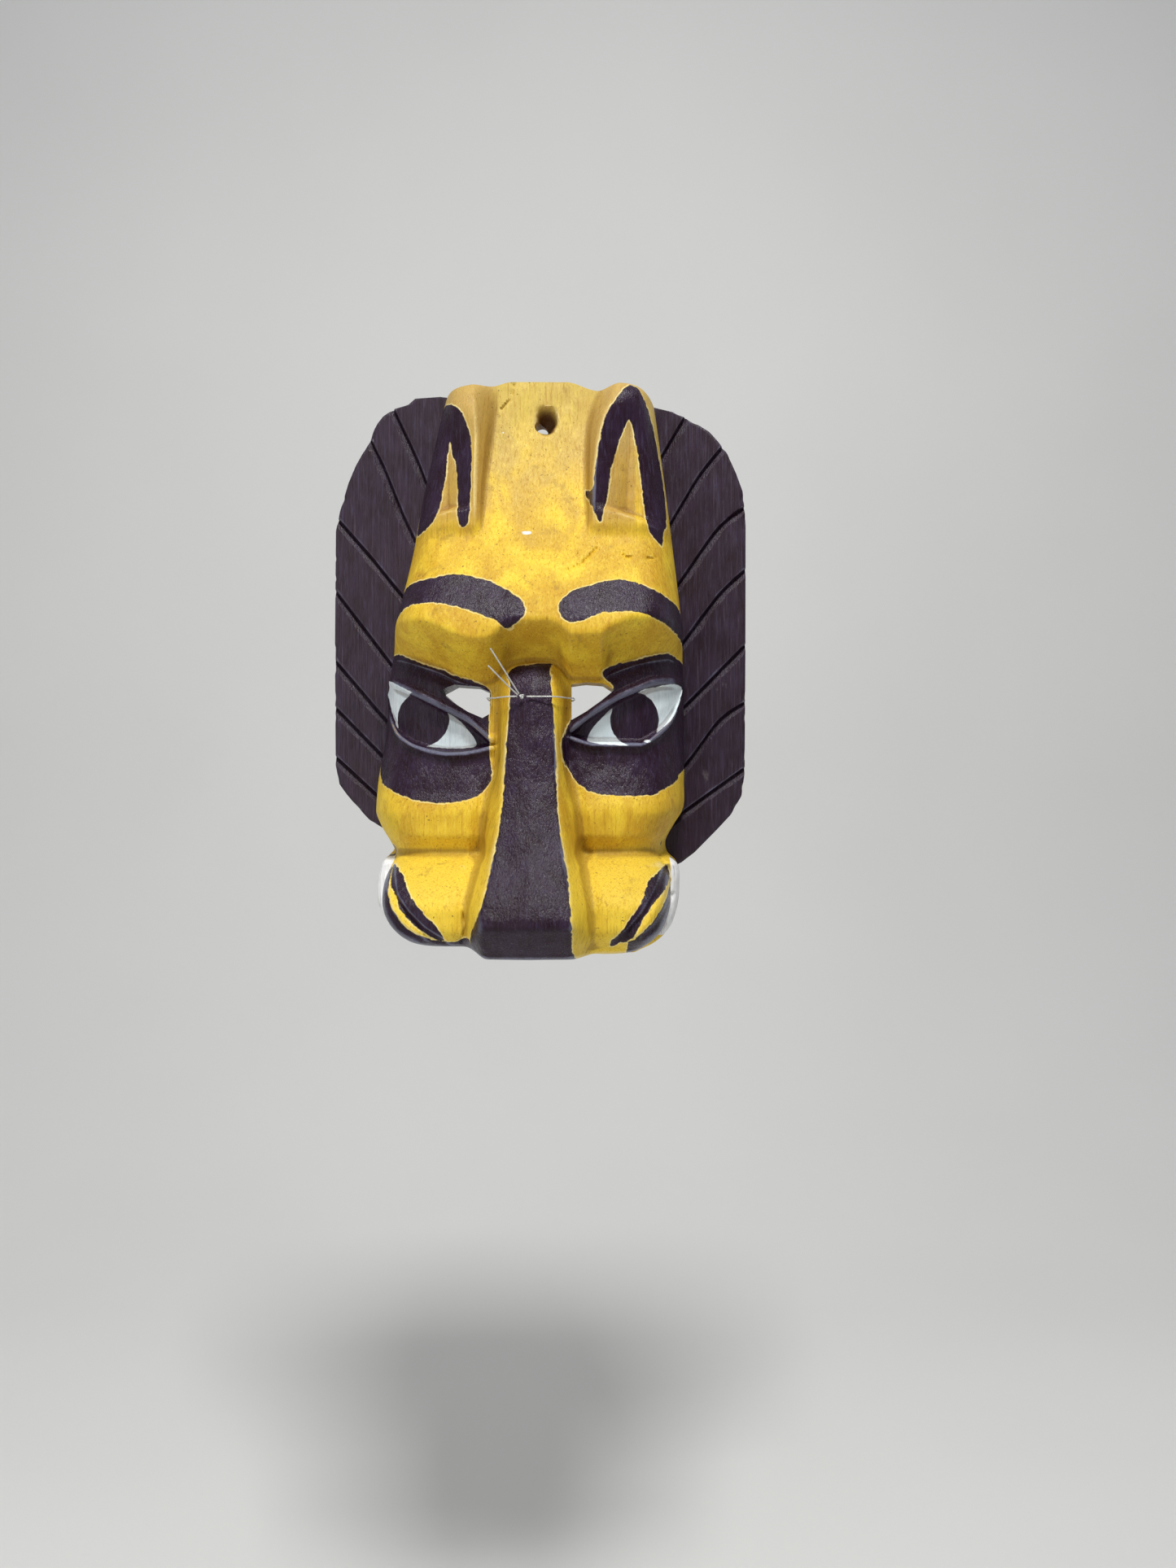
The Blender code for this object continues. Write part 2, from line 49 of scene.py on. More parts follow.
# ---- driving dimensions ----
TOP = 22.0  # top edge of the face block
CHIN = -251.5  # lowest point of the muzzle
LIP_START = -214.0  # height where the muzzle starts to turn under
UNDER_POWER = 30  # the higher, the sharper its turn under; the powers below are alike
FACE_POWER = 8
MUZZLE_POWER = 15
JAW_POWER = 60
HOLLOW_POWER = 4
MUZZLE_TOP = (-204, -212)  # heights between which the face turns into the muzzle
MUZZLE_INSET = 3.5  # the muzzle stands this far inside the jaw at both sides
JAW_TOP = (-200, -210)
GAP = 0.3  # clearance between pieces that touch
BOARD = 10.0  # thickness of a mane board
LAP = 10.0  # how far a mane board reaches under the face block
JAW_DEPTH = 60.0  # front of the tooth band round the muzzle
RIM = 21.0  # back rim between the block's edge and the hollow
NOSE_X = -3.0  # centre line of the nose
HOLE_RADIUS = 3.1

# ---- outline and depth of the face block, by height (z, value) ----
LEFT_EDGE = (
    (22, -47.5), (-29, -59), (-68, -66), (-95, -71.3), (-122, -76.4), (-149, -78.4),
    (-172, -81.5), (-186, -82), (-193, -79.5), (-201, -75), (-206, -73), (-211, -75.3),
    (-222, -77.5), (-233, -75.5), (-241, -69), (-247, -60), (-251, -48),
)
RIGHT_EDGE = (
    (22, 55.5), (-29, 62.3), (-68, 67), (-95, 69.6), (-122, 71), (-149, 71.4),
    (-172, 71.2), (-186, 70.4), (-193, 66.2), (-201, 62), (-206, 61.9), (-211, 66),
    (-222, 67), (-233, 65.5), (-241, 62), (-247, 55.5), (-251, 47),
)
FOREHEAD_DEPTH = (
    (22, 30), (0, 32), (-30, 41), (-60, 55), (-80, 66), (-95, 74.5), (-105, 78), (-130, 80),
)
CHEEK_DEPTH = (
    (-100, 52), (-115, 56), (-130, 59), (-150, 58), (-162, 60), (-175, 65), (-188, 70),
    (-196, 70), (-204, 66), (-211, 77), (-220, 89), (-230, 95), (-240, 94), (-246, 86),
)
NOSE_DEPTH = (
    (-112, 58), (-118, 61), (-125, 66), (-150, 75), (-180, 87), (-210, 103),
    (-226, 114), (-233, 117), (-238, 113), (-246, 105),
)
NOSE_ROOF = 2.0  # drop from the nose's crest to the edges of its top
NOSE_CREST = 1.0  # the crest stands this far right of the nose's centre line
NOSE_CREASE = 1.5  # depth of the crease beside the nose
NOSE_TOP_HALF = ((-118, 8), (-150, 10), (-185, 12), (-210, 15), (-228, 18), (-246, 18))
NOSE_FOOT_HALF = ((-118, 17), (-160, 17), (-185, 22), (-210, 25), (-228, 28), (-246, 29))
HOLLOW_DEPTH = (
    (9, 14), (0, 18), (-30, 26), (-60, 38), (-90, 51), (-110, 52), (-128, 44),
    (-150, 46), (-175, 54), (-200, 54), (-215, 64), (-230, 64), (-237, 56),
)

# ---- ears, by height: foot of the inner wall, crest, bottom of the hollow, outer rim ----
EAR_LEFT = {
    "foot": ((22, -19.5), (-10, -23.4), (-32, -25.6), (-52, -26.3)),
    "crest": ((22, -34), (8, -32), (-10, -30.5), (-52, -30.5)),
    "valley": ((10, -45.5), (-5, -43.5), (-52, -43.5)),
    "rim": ((10, -50.5), (-53, -60)),
}
EAR_RIGHT = {
    "foot": ((22, 29.5), (8, 23.4), (-32, 21.4), (-52, 22)),
    "crest": ((22, 40), (8, 35), (0, 31), (-24, 26.8), (-52, 26)),
    "valley": ((10, 44), (-5, 43), (-52, 40)),
    "rim": ((12, 50), (-5, 55), (-35, 60.5), (-55, 60)),
}
EAR_DEPTH = ((22, 33), (17, 42), (8, 46.5), (-10, 49), (-50, 54.5), (-60, 55.5))
EAR_HOLLOW = ((9, 0), (-5, 3.5), (-25, 6), (-45, 8))
EAR_LEDGE = ((-60, -52), (-38, -45.5), (28, -45.5), (56, -53))  # foot of the hollow, by x
EAR_ROOT = (-60, -52)  # an ear rises out of the forehead between these heights

# ---- foot and top of the block, by x ----
FOOT_LINE = (
    (-60, -246.5), (-48, -247.5), (-33, -248), (-27, -249), (-20, -251.5), (18, -251.5), (47, -251),
)
TOP_DROP = (
    (-50, 7), (-44, 5.5), (-32, 4.5), (-25, 3), (-14, 0), (12, 0), (28, 4.5), (39, 3), (47, 4.5), (55, 9),
)

# ---- eyes, by x: fold under the brow, then the crests of both lids ----
FOLD = (
    (-76, -111), (-65, -113.5), (-46, -120), (-38, -124), (-28, -127), (-21, -126),
    (-14, -120), (-10, -118.5), (4, -118), (9, -119.5), (16, -125), (28, -125),
    (33, -121), (46, -116), (61, -112.8), (70, -115),
)
LID_LEFT = ((-76, -123), (-61.5, -129.5), (-52, -134), (-44, -138), (-33, -143.5), (-22, -153))
LASH_LEFT = (
    (-76, -129), (-72.5, -140), (-67, -150), (-60, -155.5), (-52, -158.5), (-42, -160.5),
    (-33, -160), (-22, -157.5),
)
LID_RIGHT = (
    (15, -148.5), (24.5, -141), (36, -134), (44.5, -130), (51.5, -127), (58.5, -125.5), (69, -125),
)
LASH_RIGHT = (
    (15, -153), (25.5, -156), (47, -156), (55.5, -151), (61, -145.5), (66.5, -136), (69, -128),
)
EYE_SUNK = 3.2  # eyeball behind the lids
LID_RIDGE = 1.8
FOLD_CREASE = 1.2  # depth of the crease along the fold
TEMPLE_SUNK = 6.0  # the cheek falls back this far beside an eye
TEMPLE_HEIGHT = -140.0
TEMPLE_REACH = 34.0
EYE_INNER = (15, 20)  # an eye's relief begins between these distances from the nose's middle

# ---- mane outlines (x, z), from the top of the block round to its foot ----
MANE_LEFT = (
    (-52, 21.5), (-64, 21), (-68, 17.5), (-75, 15.5), (-80.5, 11.8), (-85, 6), (-87.5, -1),
    (-94.5, -13.5), (-98, -22), (-102.2, -36), (-104.3, -46), (-104.8, -106),
    (-104.4, -164), (-102.6, -173.5), (-99, -178.5), (-94, -184.5), (-87, -192), (-80, -196),
)
MANE_RIGHT = (
    (55, 16.5), (65.5, 14), (71.5, 11.5), (78, 7.7), (84, 4), (88.5, -1), (93, -7),
    (97.5, -17), (100.8, -26), (102.3, -41), (102.2, -106), (101.8, -168), (100.2, -179.5),
    (94.8, -189), (88.3, -196), (76.5, -208), (70, -213), (60, -218),
)
MANE_LEFT_SPAN = (20, -190)  # top and foot of the hidden edge
MANE_RIGHT_SPAN = (15, -210)
# Centre lines of the V cuts, outer end first.
GROOVES_LEFT = (
    ((-76.5, 18), (-64, -9), (-58, -24)),
    ((-88, 2), (-80, -14.5), (-70.5, -38), (-62, -56)),
    ((-107, -36), (-88.5, -57), (-75, -73.5), (-63, -88)),
    ((-107, -73), (-81.5, -106.5), (-68, -124)),
    ((-107, -108.5), (-85, -134.5), (-70, -151)),
    ((-107, -132.5), (-86.5, -153.5), (-72, -168)),
    ((-107, -157.5), (-88.5, -174.5), (-72, -190)),
)
GROOVES_RIGHT = (
    ((74, 15), (63.5, -2.5), (57, -14)),
    ((92, -2), (79.5, -17.5), (66.5, -39), (58, -54)),
    ((105, -32), (89.5, -43.5), (71.5, -68.5), (60, -84)),
    ((105, -63), (89.5, -77.5), (74, -98), (60, -116)),
    ((105, -100.5), (76.5, -129.5), (60, -146)),
    ((105, -130.5), (89.5, -141), (75.5, -159.5), (60, -178)),
    ((104, -164), (74.5, -185), (60, -196)),
)
GROOVE_DEPTH = 2.6
GROOVE_SHARP = 0.9  # half-width on the steep upper side
GROOVE_BEVEL = 3.2  # half-width on the soft lower side

# ---- through openings of the face block (x, z) ----
EYE_SLIT_LEFT = (
    (-46, -130.5), (-39, -127.5), (-28, -128.5), (-22.5, -131), (-22.5, -141),
    (-26, -143), (-33, -140), (-40, -135.5),
)
EYE_SLIT_RIGHT = (
    (15, -127.5), (22, -126.5), (30, -127), (35, -130), (29, -135), (22, -140), (15, -144),
)

# ---- nails from behind, and the nylon tie ----
NAIL_LENGTH = 20.0
NAIL_RADIUS = 0.9
NAIL_HEAD_RADIUS = 2.0
NAIL_HEAD = 0.9
NAIL_SUNK = 0.4  # the head lies this far in front of the wall
NAIL_NECK = 0.5  # the shank is full past this and the head
NAIL_TIP = 3.0
NAIL_TIP_RADIUS = 0.3
NAIL_INSET = 5.0  # nail axis from the board's inner edge
NAIL_HEIGHTS = (-18, -92, -166)

LINE_RADIUS = 0.35
KNOT_RADIUS = 1.3
TIE_Z = -134.0  # height of the tie across the nose
KNOT_X = -7.0
KNOT_HALF = 2.1  # the loop ends this far from the knot's middle
# The tie starts right of the knot, passes over the nose, through the right eye slit,
# behind the bridge, out of the left slit and back to the knot.
TIE_ROUTE = (
    (KNOT_X + KNOT_HALF, 71.3, TIE_Z), (4.5, 71.3, TIE_Z), (6.8, 70.9, TIE_Z), (9.0, 69.0, TIE_Z),
    (11.4, 65.2, TIE_Z), (13.4, 61.8, TIE_Z), (15.2, 60.4, TIE_Z), (16.2, 58.5, TIE_Z),
    (16.4, 46.0, TIE_Z), (15.2, 43.0, TIE_Z), (12.5, 42.4, TIE_Z), (4.0, 42.2, TIE_Z),
    (-10.0, 42.2, TIE_Z), (-19.5, 42.2, TIE_Z), (-22.7, 43.2, TIE_Z), (-24.0, 46.0, TIE_Z),
    (-23.8, 58.5, TIE_Z), (-22.6, 60.4, TIE_Z), (-20.2, 61.6, TIE_Z), (-17.8, 64.8, TIE_Z),
    (-15.2, 68.8, TIE_Z), (-13.0, 70.9, TIE_Z), (KNOT_X - KNOT_HALF, 71.3, TIE_Z),
)
KNOT_AT = (KNOT_X, 71.8, TIE_Z)
TAIL_LONG = ((-8.3, 73.2, -132.8), (-11.0, 76.5, -128.5), (-15.0, 81.0, -122.0), (-20.0, 85.5, -114.0))
TAIL_SHORT = ((-8.9, 72.2, -133.3), (-12.5, 75.0, -130.0), (-17.0, 78.5, -125.5), (-21.5, 80.5, -121.0))


# ---- shape formulas ----
def along(stations, at):
    """Smooth curve through (position, value) stations, held level past both ends."""
    points = np.array(sorted(stations), float)
    place, value = points[:, 0], points[:, 1]
    step = np.diff(place)
    rise = np.diff(value) / step
    slope = np.concatenate(([rise[0]], (rise[1:] + rise[:-1]) / 2, [rise[-1]]))
    slope[1:-1][rise[1:] * rise[:-1] <= 0] = 0
    at = np.clip(np.asarray(at, float), place[0], place[-1])
    i = np.clip(np.searchsorted(place, at, side="right") - 1, 0, len(step) - 1)
    t = (at - place[i]) / step[i]
    start = (1 + 2 * t) * (1 - t) ** 2 * value[i] + t * (1 - t) ** 2 * step[i] * slope[i]
    end = t * t * (3 - 2 * t) * value[i + 1] + t * t * (t - 1) * step[i] * slope[i + 1]
    return start + end


def fade(value, low, high):
    """0 at low, 1 at high, smooth between; high may be below low."""
    t = np.clip((value - low) / (high - low), 0, 1)
    return t * t * (3 - 2 * t)


def bell(value, reach):
    """Smooth bump of height 1 at 0 that ends at reach on both sides."""
    t = np.clip(np.abs(value) / reach, 0, 1)
    return (1 - t * t) ** 2


def shoulder(x, left, right, power):
    """1 over the middle of the block, falling steeply to 0 at both edges."""
    across = np.clip((2 * x - left - right) / (right - left), -1, 1)
    return np.sqrt(1 - np.abs(across) ** power)


def ear(x, z, lines, base):
    """Ear that stands on the forehead: an inner wall, a crest and a hollow outer face."""
    foot, crest, valley, rim = (along(lines[name], z) for name in ("foot", "crest", "valley", "rim"))
    inner = (x - valley) / (crest - valley)
    outer = (x - valley) / (rim - valley)
    hollow = np.clip(1 - np.maximum(inner, outer), 0, 1) * along(EAR_HOLLOW, z)
    hollow = hollow * fade(z - along(EAR_LEDGE, x), -1, 4)
    height = along(EAR_DEPTH, z) - hollow - base
    return fade(x, foot, crest) * height * fade(z, *EAR_ROOT)


def eye_relief(x, z, lid, lash):
    """Raised lid rims round a sunken almond eye."""
    inside = np.minimum(lid - z, z - lash)
    return LID_RIDGE * bell(inside, 4) - EYE_SUNK * fade(inside, 0.8, 2.6) + fade(inside, 2, 14)


def front_depth(x, z):
    """Depth of the carved front before its edges are rounded off."""
    out = np.abs(x - NOSE_X)
    cheek = along(CHEEK_DEPTH, z)
    temple = np.clip((out - 45) / 30, 0, 1) ** 2
    cheek = cheek - TEMPLE_SUNK * bell(z - TEMPLE_HEIGHT, TEMPLE_REACH) * temple
    cheek = cheek + np.where(
        x < NOSE_X,
        eye_relief(x, z, along(LID_LEFT, x), along(LASH_LEFT, x)),
        eye_relief(x, z, along(LID_RIGHT, x), along(LASH_RIGHT, x)),
    ) * fade(out, *EYE_INNER)
    above_fold = z - along(FOLD, x)
    under_brow = fade(above_fold, 0, 20 - 5 * fade(out, 45, 68))
    base = cheek + under_brow * (along(FOREHEAD_DEPTH, z) - cheek)
    base = base - FOLD_CREASE * bell(above_fold, 3)
    top, foot = along(NOSE_TOP_HALF, z), along(NOSE_FOOT_HALF, z)
    bridge = along(NOSE_DEPTH, z) - NOSE_ROOF * np.abs(x - NOSE_X - NOSE_CREST) / top
    nose = fade(out, foot, top) * fade(above_fold, 3, -2)
    base = base + nose * np.maximum(bridge - base, 0)
    base = base - NOSE_CREASE * bell(out - foot, 5) * fade(z, -150, -190)
    return base + np.where(x < 3, ear(x, z, EAR_LEFT, base), ear(x, z, EAR_RIGHT, base))


def muzzle_depth(x, z):
    """Depth of the face and of the muzzle, which turns under at its foot."""
    left, right = along(LEFT_EDGE, z), along(RIGHT_EDGE, z)
    at_muzzle = fade(z, *MUZZLE_TOP)
    inset = MUZZLE_INSET * at_muzzle
    power = FACE_POWER + (MUZZLE_POWER - FACE_POWER) * at_muzzle
    full = front_depth(x, z) * shoulder(x, left + inset, right - inset, power)
    under = np.clip((LIP_START - z) / (LIP_START - along(FOOT_LINE, x)), 0, 1)
    return full * np.sqrt(1 - under**UNDER_POWER)


def jaw_depth(x, z):
    """Depth of the jaw shelf that carries the teeth round the muzzle."""
    left, right = along(LEFT_EDGE, z), along(RIGHT_EDGE, z)
    return JAW_DEPTH * shoulder(x, left, right, JAW_POWER) * fade(z, *JAW_TOP)


def carved_depth(x, z):
    """Depth of the finished front."""
    return np.maximum(muzzle_depth(x, z), jaw_depth(x, z))


def hollow_depth(x, z):
    """Depth of the hollow behind the face."""
    left, right = along(LEFT_EDGE, z) + RIM, along(RIGHT_EDGE, z) - RIM
    return along(HOLLOW_DEPTH, z) * shoulder(x, left, right, HOLLOW_POWER)


# ---- fine carving that only the looks need (x, z), depths in millimetres ----
# A cut is (half-width on its upper side, on its lower side, depth).
NOSTRIL_CUT = (1.6, 3.2, 2.2)
LIP_CUT = (1.4, 2.6, 1.6)
FOLD_CUT = (0.8, 4.0, 1.3)
CRACK_CUT = (0.55, 0.55, 1.3)
PIT_CENTRE, PIT_HALF, PIT_DEPTH = (2.6, 2.4), (6.4, 8.4), 11.0  # gouged round the hanging hole
PIT_ROUGH = 0.12
NOSTRIL_CUTS = (
    ((-65.5, -213), (-61.5, -222.5), (-55.5, -229.6), (-48.7, -236.2), (-40, -242)),
    ((58, -212.6), (52.5, -221.7), (46.7, -230.4), (40.4, -237.5), (34.2, -242)),
)
LIP_CUTS = (
    ((-65.5, -222.5), (-62.6, -229.8), (-57.9, -235.4), (-49.6, -240.5)),
    ((61, -224.5), (57, -229.5), (52.2, -235.6), (47, -239.5)),
)
CRACKS = (
    ((-13, 21.5), (-15, 13.8), (-19.3, 8.5)),
    ((-38, -209.5), (-32.5, -212), (-29.5, -215)),
    ((-31.6, -228.6), (-30, -235.4), (-33, -243)),
    ((38.4, -66.8), (40.5, -68.6), (43.3, -68.8)),
    ((49.8, -68.6), (52.5, -68.8), (54.9, -67.2)),
    ((12, -76), (20, -72), (27, -64)),
)
LID_SWELL, LID_REACH, LID_LIFT = 1.2, 2.8, 0.8  # rounded rims of the lids
FOLD_LINE = 3.0  # the fold over an eye is cut this far under the brow
# Knife facets as (height, squash along z, cell size, seed of the noise).
FACETS = ((0.30, 0.6, 9, 11), (0.16, 0.7, 4, 12))

# ---- painted areas (x, z); an area that runs off the block covers its side wall too ----
BROWS = (
    (
        (-90, -92), (-69, -84), (-61.5, -81), (-48.5, -79), (-37, -77.5), (-24, -80.5), (-14, -85.5),
        (-7, -91), (-5.5, -96.5), (-9, -101), (-13.5, -104), (-19, -100), (-27, -97), (-37, -93.6),
        (-50, -91.5), (-60, -92.5), (-67, -96), (-73, -101), (-90, -112),
    ),
    (
        (90, -104), (69, -91.5), (61, -88.2), (52.7, -84.8), (45, -81.8), (37.4, -80.6), (30, -81.4),
        (22, -83.9), (14.5, -87), (10.5, -91.5), (9.8, -96), (12, -100), (16, -101.2), (22, -99.9),
        (28, -97), (36, -96), (45, -96.2), (52.5, -98.4), (61, -101.9), (68, -105.5), (90, -120),
    ),
)
EYE_PATCHES = (
    (
        (-95, -104), (-76, -110), (-66, -112.5), (-56.5, -116.7), (-46.6, -120), (-39, -123.5),
        (-29.4, -126.2), (-22.5, -131), (-23, -142), (-22.9, -150), (-22.4, -163), (-21.5, -169),
        (-22.8, -173.7), (-27, -178.5), (-34.7, -181.1), (-43.5, -182.2), (-54.4, -181.1),
        (-63.2, -178.2), (-73, -173.7), (-77.5, -167), (-80, -160), (-95, -152),
    ),
    (
        (90, -109), (70.5, -114), (61.5, -112), (53.5, -113.5), (45.7, -115.7), (37.7, -117.7),
        (31, -120.2), (29.5, -123.5), (34.5, -129.5), (24.5, -137), (15.8, -142.7), (12, -150),
        (10.8, -156), (11.8, -163), (14.5, -167.5), (18, -173), (25, -177.4), (34.5, -178.5),
        (45.3, -178.9), (52.8, -178.2), (58.8, -175.2), (64.5, -172), (69.6, -166.4), (90, -157),
    ),
)
NOSE_PAINT = (
    (-14, -122.7), (-9.7, -119.2), (-3.6, -118.6), (3, -117.6), (6.5, -118.5), (5.6, -121),
    (7.6, -148.8), (8.5, -165), (9.5, -186.5), (11.4, -198), (14, -212.8), (15.1, -221.7),
    (15.9, -234), (16, -243), (15, -256), (-24, -256), (-27.8, -245), (-26.8, -237),
    (-24.8, -233), (-21.1, -221.8), (-18.1, -207.4), (-15.1, -186.5), (-14, -165),
    (-13.3, -148.8), (-12.6, -130.3),
)
EAR_PAINT = (
    (
        (-48, 10), (-51.6, 0.6), (-54.7, -6.4), (-56.6, -20.2), (-58.3, -34.5), (-59.5, -48.4),
        (-59.5, -54), (-56.8, -54.5), (-52.6, -52.6), (-49.2, -49.2), (-47.2, -40.5), (-45.5, -29.8),
        (-44.1, -17.4), (-43.2, -10.5), (-42, -15), (-39.4, -24.3), (-38.8, -34.3), (-38.1, -48.1),
        (-36.5, -53.5), (-33.8, -52.5), (-32.4, -46.6), (-31.9, -31.9), (-32.2, -14), (-33.9, -5.3),
        (-36.7, 2.1), (-41.4, 6.8),
    ),
    (
        (42.7, 17.4), (35.3, 7.9), (30.7, -0.8), (28, -14.3), (26.4, -25), (24.9, -35), (21.6, -33.9),
        (22.6, -38.1), (25.6, -45.8), (27.2, -50.6), (29.1, -50.6), (29.8, -45.8), (32.2, -37.6),
        (33.7, -25.7), (36.8, -14), (39.6, -5.7), (42.5, -0.7), (45, -9.3), (47, -19.9),
        (48.4, -34.6), (49.9, -47.2), (51.2, -53.9), (54.8, -58.6), (57.5, -61), (58.7, -54),
        (60.6, -48.1), (60.2, -35), (58.1, -19.2), (55, -5.2), (52.3, 4.4), (48.5, 13.2),
    ),
)
NOSTRIL_PAINT = (
    (
        (-65.8, -210), (-60.4, -213), (-56.5, -218.6), (-53.6, -223.2), (-49.7, -227.7),
        (-46.5, -231.2), (-41.5, -236.4), (-40.4, -242), (-48.2, -237.6), (-55.4, -231.7),
        (-58.3, -227.8), (-62, -221.6), (-64.6, -218.5), (-65.8, -214.4),
    ),
    (
        (59, -211), (54.8, -212.5), (50.4, -215.4), (47.9, -220), (45.1, -226.1), (40.9, -231.9),
        (35.9, -238.6), (32.4, -242), (33.4, -244.5), (36.1, -243), (41.7, -240.3), (46.1, -233.4),
        (50.9, -226), (56.1, -221.2), (59.9, -216.9),
    ),
)
LIP_PAINT = (
    (
        (-69.4, -202), (-67.1, -209.5), (-65.8, -216.3), (-65.7, -219), (-63.8, -225.3),
        (-59.9, -230.8), (-55.1, -236.5), (-44.6, -241), (-35.6, -242.2), (-27, -243.5),
        (-25, -290), (-110, -290), (-110, -202),
    ),
    (
        (60.4, -200), (60.8, -206), (60.9, -215.2), (60.7, -219), (56.7, -225.1), (51.2, -233),
        (43.2, -240.4), (40, -247), (40, -290), (110, -290), (110, -200),
    ),
)
EYE_OPENINGS = (
    (
        (-80, -122), (-71, -124.8), (-59, -130.9), (-51.3, -134.9), (-45, -138.9), (-36.4, -144.6),
        (-30.8, -151.4), (-29.6, -156), (-40, -157), (-52, -156), (-59.5, -153.5), (-66, -148.7),
        (-70.5, -140.5), (-74, -132), (-79, -125),
    ),
    (
        (22.5, -152.5), (26, -146.2), (33.8, -138.6), (46.3, -130.8), (54.1, -128.3), (63, -126.3),
        (68.5, -127), (67.2, -133), (63.3, -141.7), (59.3, -145.9), (55.1, -149.5), (49, -155),
        (41.4, -155.8), (29.7, -155.2), (24, -154.2),
    ),
)
IRISES = (((-54.6, -143.3), (12.8, 12.8)), ((44.6, -143.6), (11.4, 12.6)))
TOOTH_LOW = 47.5  # the white tooth band starts here on the jaw shelf, in front of a dark line
SHADOW_LINE = 5.0  # width of that line
TOOTH_FOOT = -243.0  # and both end here
WHITE_SPOTS = (((-6, -56.2), (2.4, 0.9)), ((-18.4, -3.4), (0.7, 0.7)), ((50.3, -153.6), (1.4, 0.7)))
GREY_SCUFFS = (((-7.6, -74), (1.2, 4)), ((-58.7, -189), (1.0, 4.5)))
SCUFF_FADE = (1.3, 0.6)
EAR_RUBBED = (-60, 45)  # the ears' inner walls are rubbed between these x
EAR_RUBBED_FOOT = (-56, -46)
EAR_TIP = (4, 20)  # and their tips between these heights
TINY, LEVEL = 1e-12, 1e-9  # keep divisions clear of zero


# ---- lines, outlines and noise ----
def turn(point, centre, half):
    """Distance from the middle of an ellipse, 1 on its edge."""
    return np.hypot((point[0] - centre[0]) / half[0], (point[1] - centre[1]) / half[1])


def from_stretch(x, z, start, end):
    """Offset (x, z) of points from the nearest place on a straight stretch."""
    (ax, az), (ex, ez) = start, np.subtract(end, start)
    t = np.clip(((x - ax) * ex + (z - az) * ez) / (ex * ex + ez * ez + TINY), 0, 1)
    return x - ax - t * ex, z - az - t * ez


def line_distance(x, z, line):
    """Distance to a polyline and the signed side of its nearest stretch (positive above)."""
    best = np.full(x.shape, np.inf)
    side = np.zeros(x.shape)
    for start, end in zip(line[:-1], line[1:]):
        ex, ez = np.subtract(end, start)
        dx, dz = from_stretch(x, z, start, end)
        near = np.hypot(dx, dz)
        side = np.where(near < best, np.sign(np.sign(ex) * (ex * dz - ez * dx)), side)
        best = np.minimum(best, near)
    return best, side


def spline(before, start, end, after, t):
    """Smooth curve from start to end by the points before and after them."""
    return 0.5 * (
        2 * start + (end - before) * t + (2 * before - 5 * start + 4 * end - after) * t**2
        + (3 * start - before - 3 * end + after) * t**3
    )


def rounded(outline, steps=6):
    """Closed outline drawn as a smooth curve through its points."""
    p = np.array(outline, float)
    t = np.arange(steps)[:, None, None] / steps
    curve = spline(np.roll(p, 1, 0), p, np.roll(p, -1, 0), np.roll(p, -2, 0), t)
    return curve.transpose(1, 0, 2).reshape(-1, 2)


def rounded_line(line, steps=8):
    """Open smooth curve through the points of a line."""
    p = np.array([line[0], *line, line[-1]], float)
    t = np.arange(steps)[:, None, None] / steps
    curve = spline(p[:-3], p[1:-2], p[2:-1], p[3:], t)
    return np.concatenate((curve.transpose(1, 0, 2).reshape(-1, p.shape[1]), p[-1:]))


def depth_inside(x, z, outline, reach=6.0):
    """Signed distance to an outline in millimetres, positive inside, held at reach."""
    curve = rounded(outline)
    result = np.full(x.shape, -reach)
    low, high = curve.min(0) - reach, curve.max(0) + reach
    near = (x > low[0]) & (x < high[0]) & (z > low[1]) & (z < high[1])
    px, pz = x[near], z[near]
    best = np.full(px.shape, reach)
    inside = np.zeros(px.shape, bool)
    for (ax, az), (bx, bz) in zip(curve, np.roll(curve, -1, 0)):
        best = np.minimum(best, np.hypot(*from_stretch(px, pz, (ax, az), (bx, bz))))
        rise = bz - az if abs(bz - az) > LEVEL else LEVEL
        inside ^= ((az > pz) != (bz > pz)) & (px < ax + (pz - az) * (bx - ax) / rise)
    result[near] = np.where(inside, best, -best)
    return result


def soft_noise(x, z, size, seed):
    """Smooth value noise from -1 to 1 on a lattice of the given cell size."""
    u, v = x / size, z / size
    i, j = np.floor(u).astype(int), np.floor(v).astype(int)
    cells = 64
    table = np.random.default_rng(seed).uniform(-1, 1, (cells, cells))
    fu, fv = u - i, v - j
    fu, fv = fu * fu * (3 - 2 * fu), fv * fv * (3 - 2 * fv)
    low, high = (
        table[i % cells, (j + up) % cells] * (1 - fu) + table[(i + 1) % cells, (j + up) % cells] * fu
        for up in (0, 1)
    )
    return low * (1 - fv) + high * fv


def v_groove(x, z, line, steep, gentle, depth):
    """Depth of a V cut along a line: steep on its upper side, gentle on its lower side."""
    distance, side = line_distance(x, z, line)
    half = np.where(side > 0, steep, gentle)
    return depth * np.clip(1 - distance / half, 0, 1)


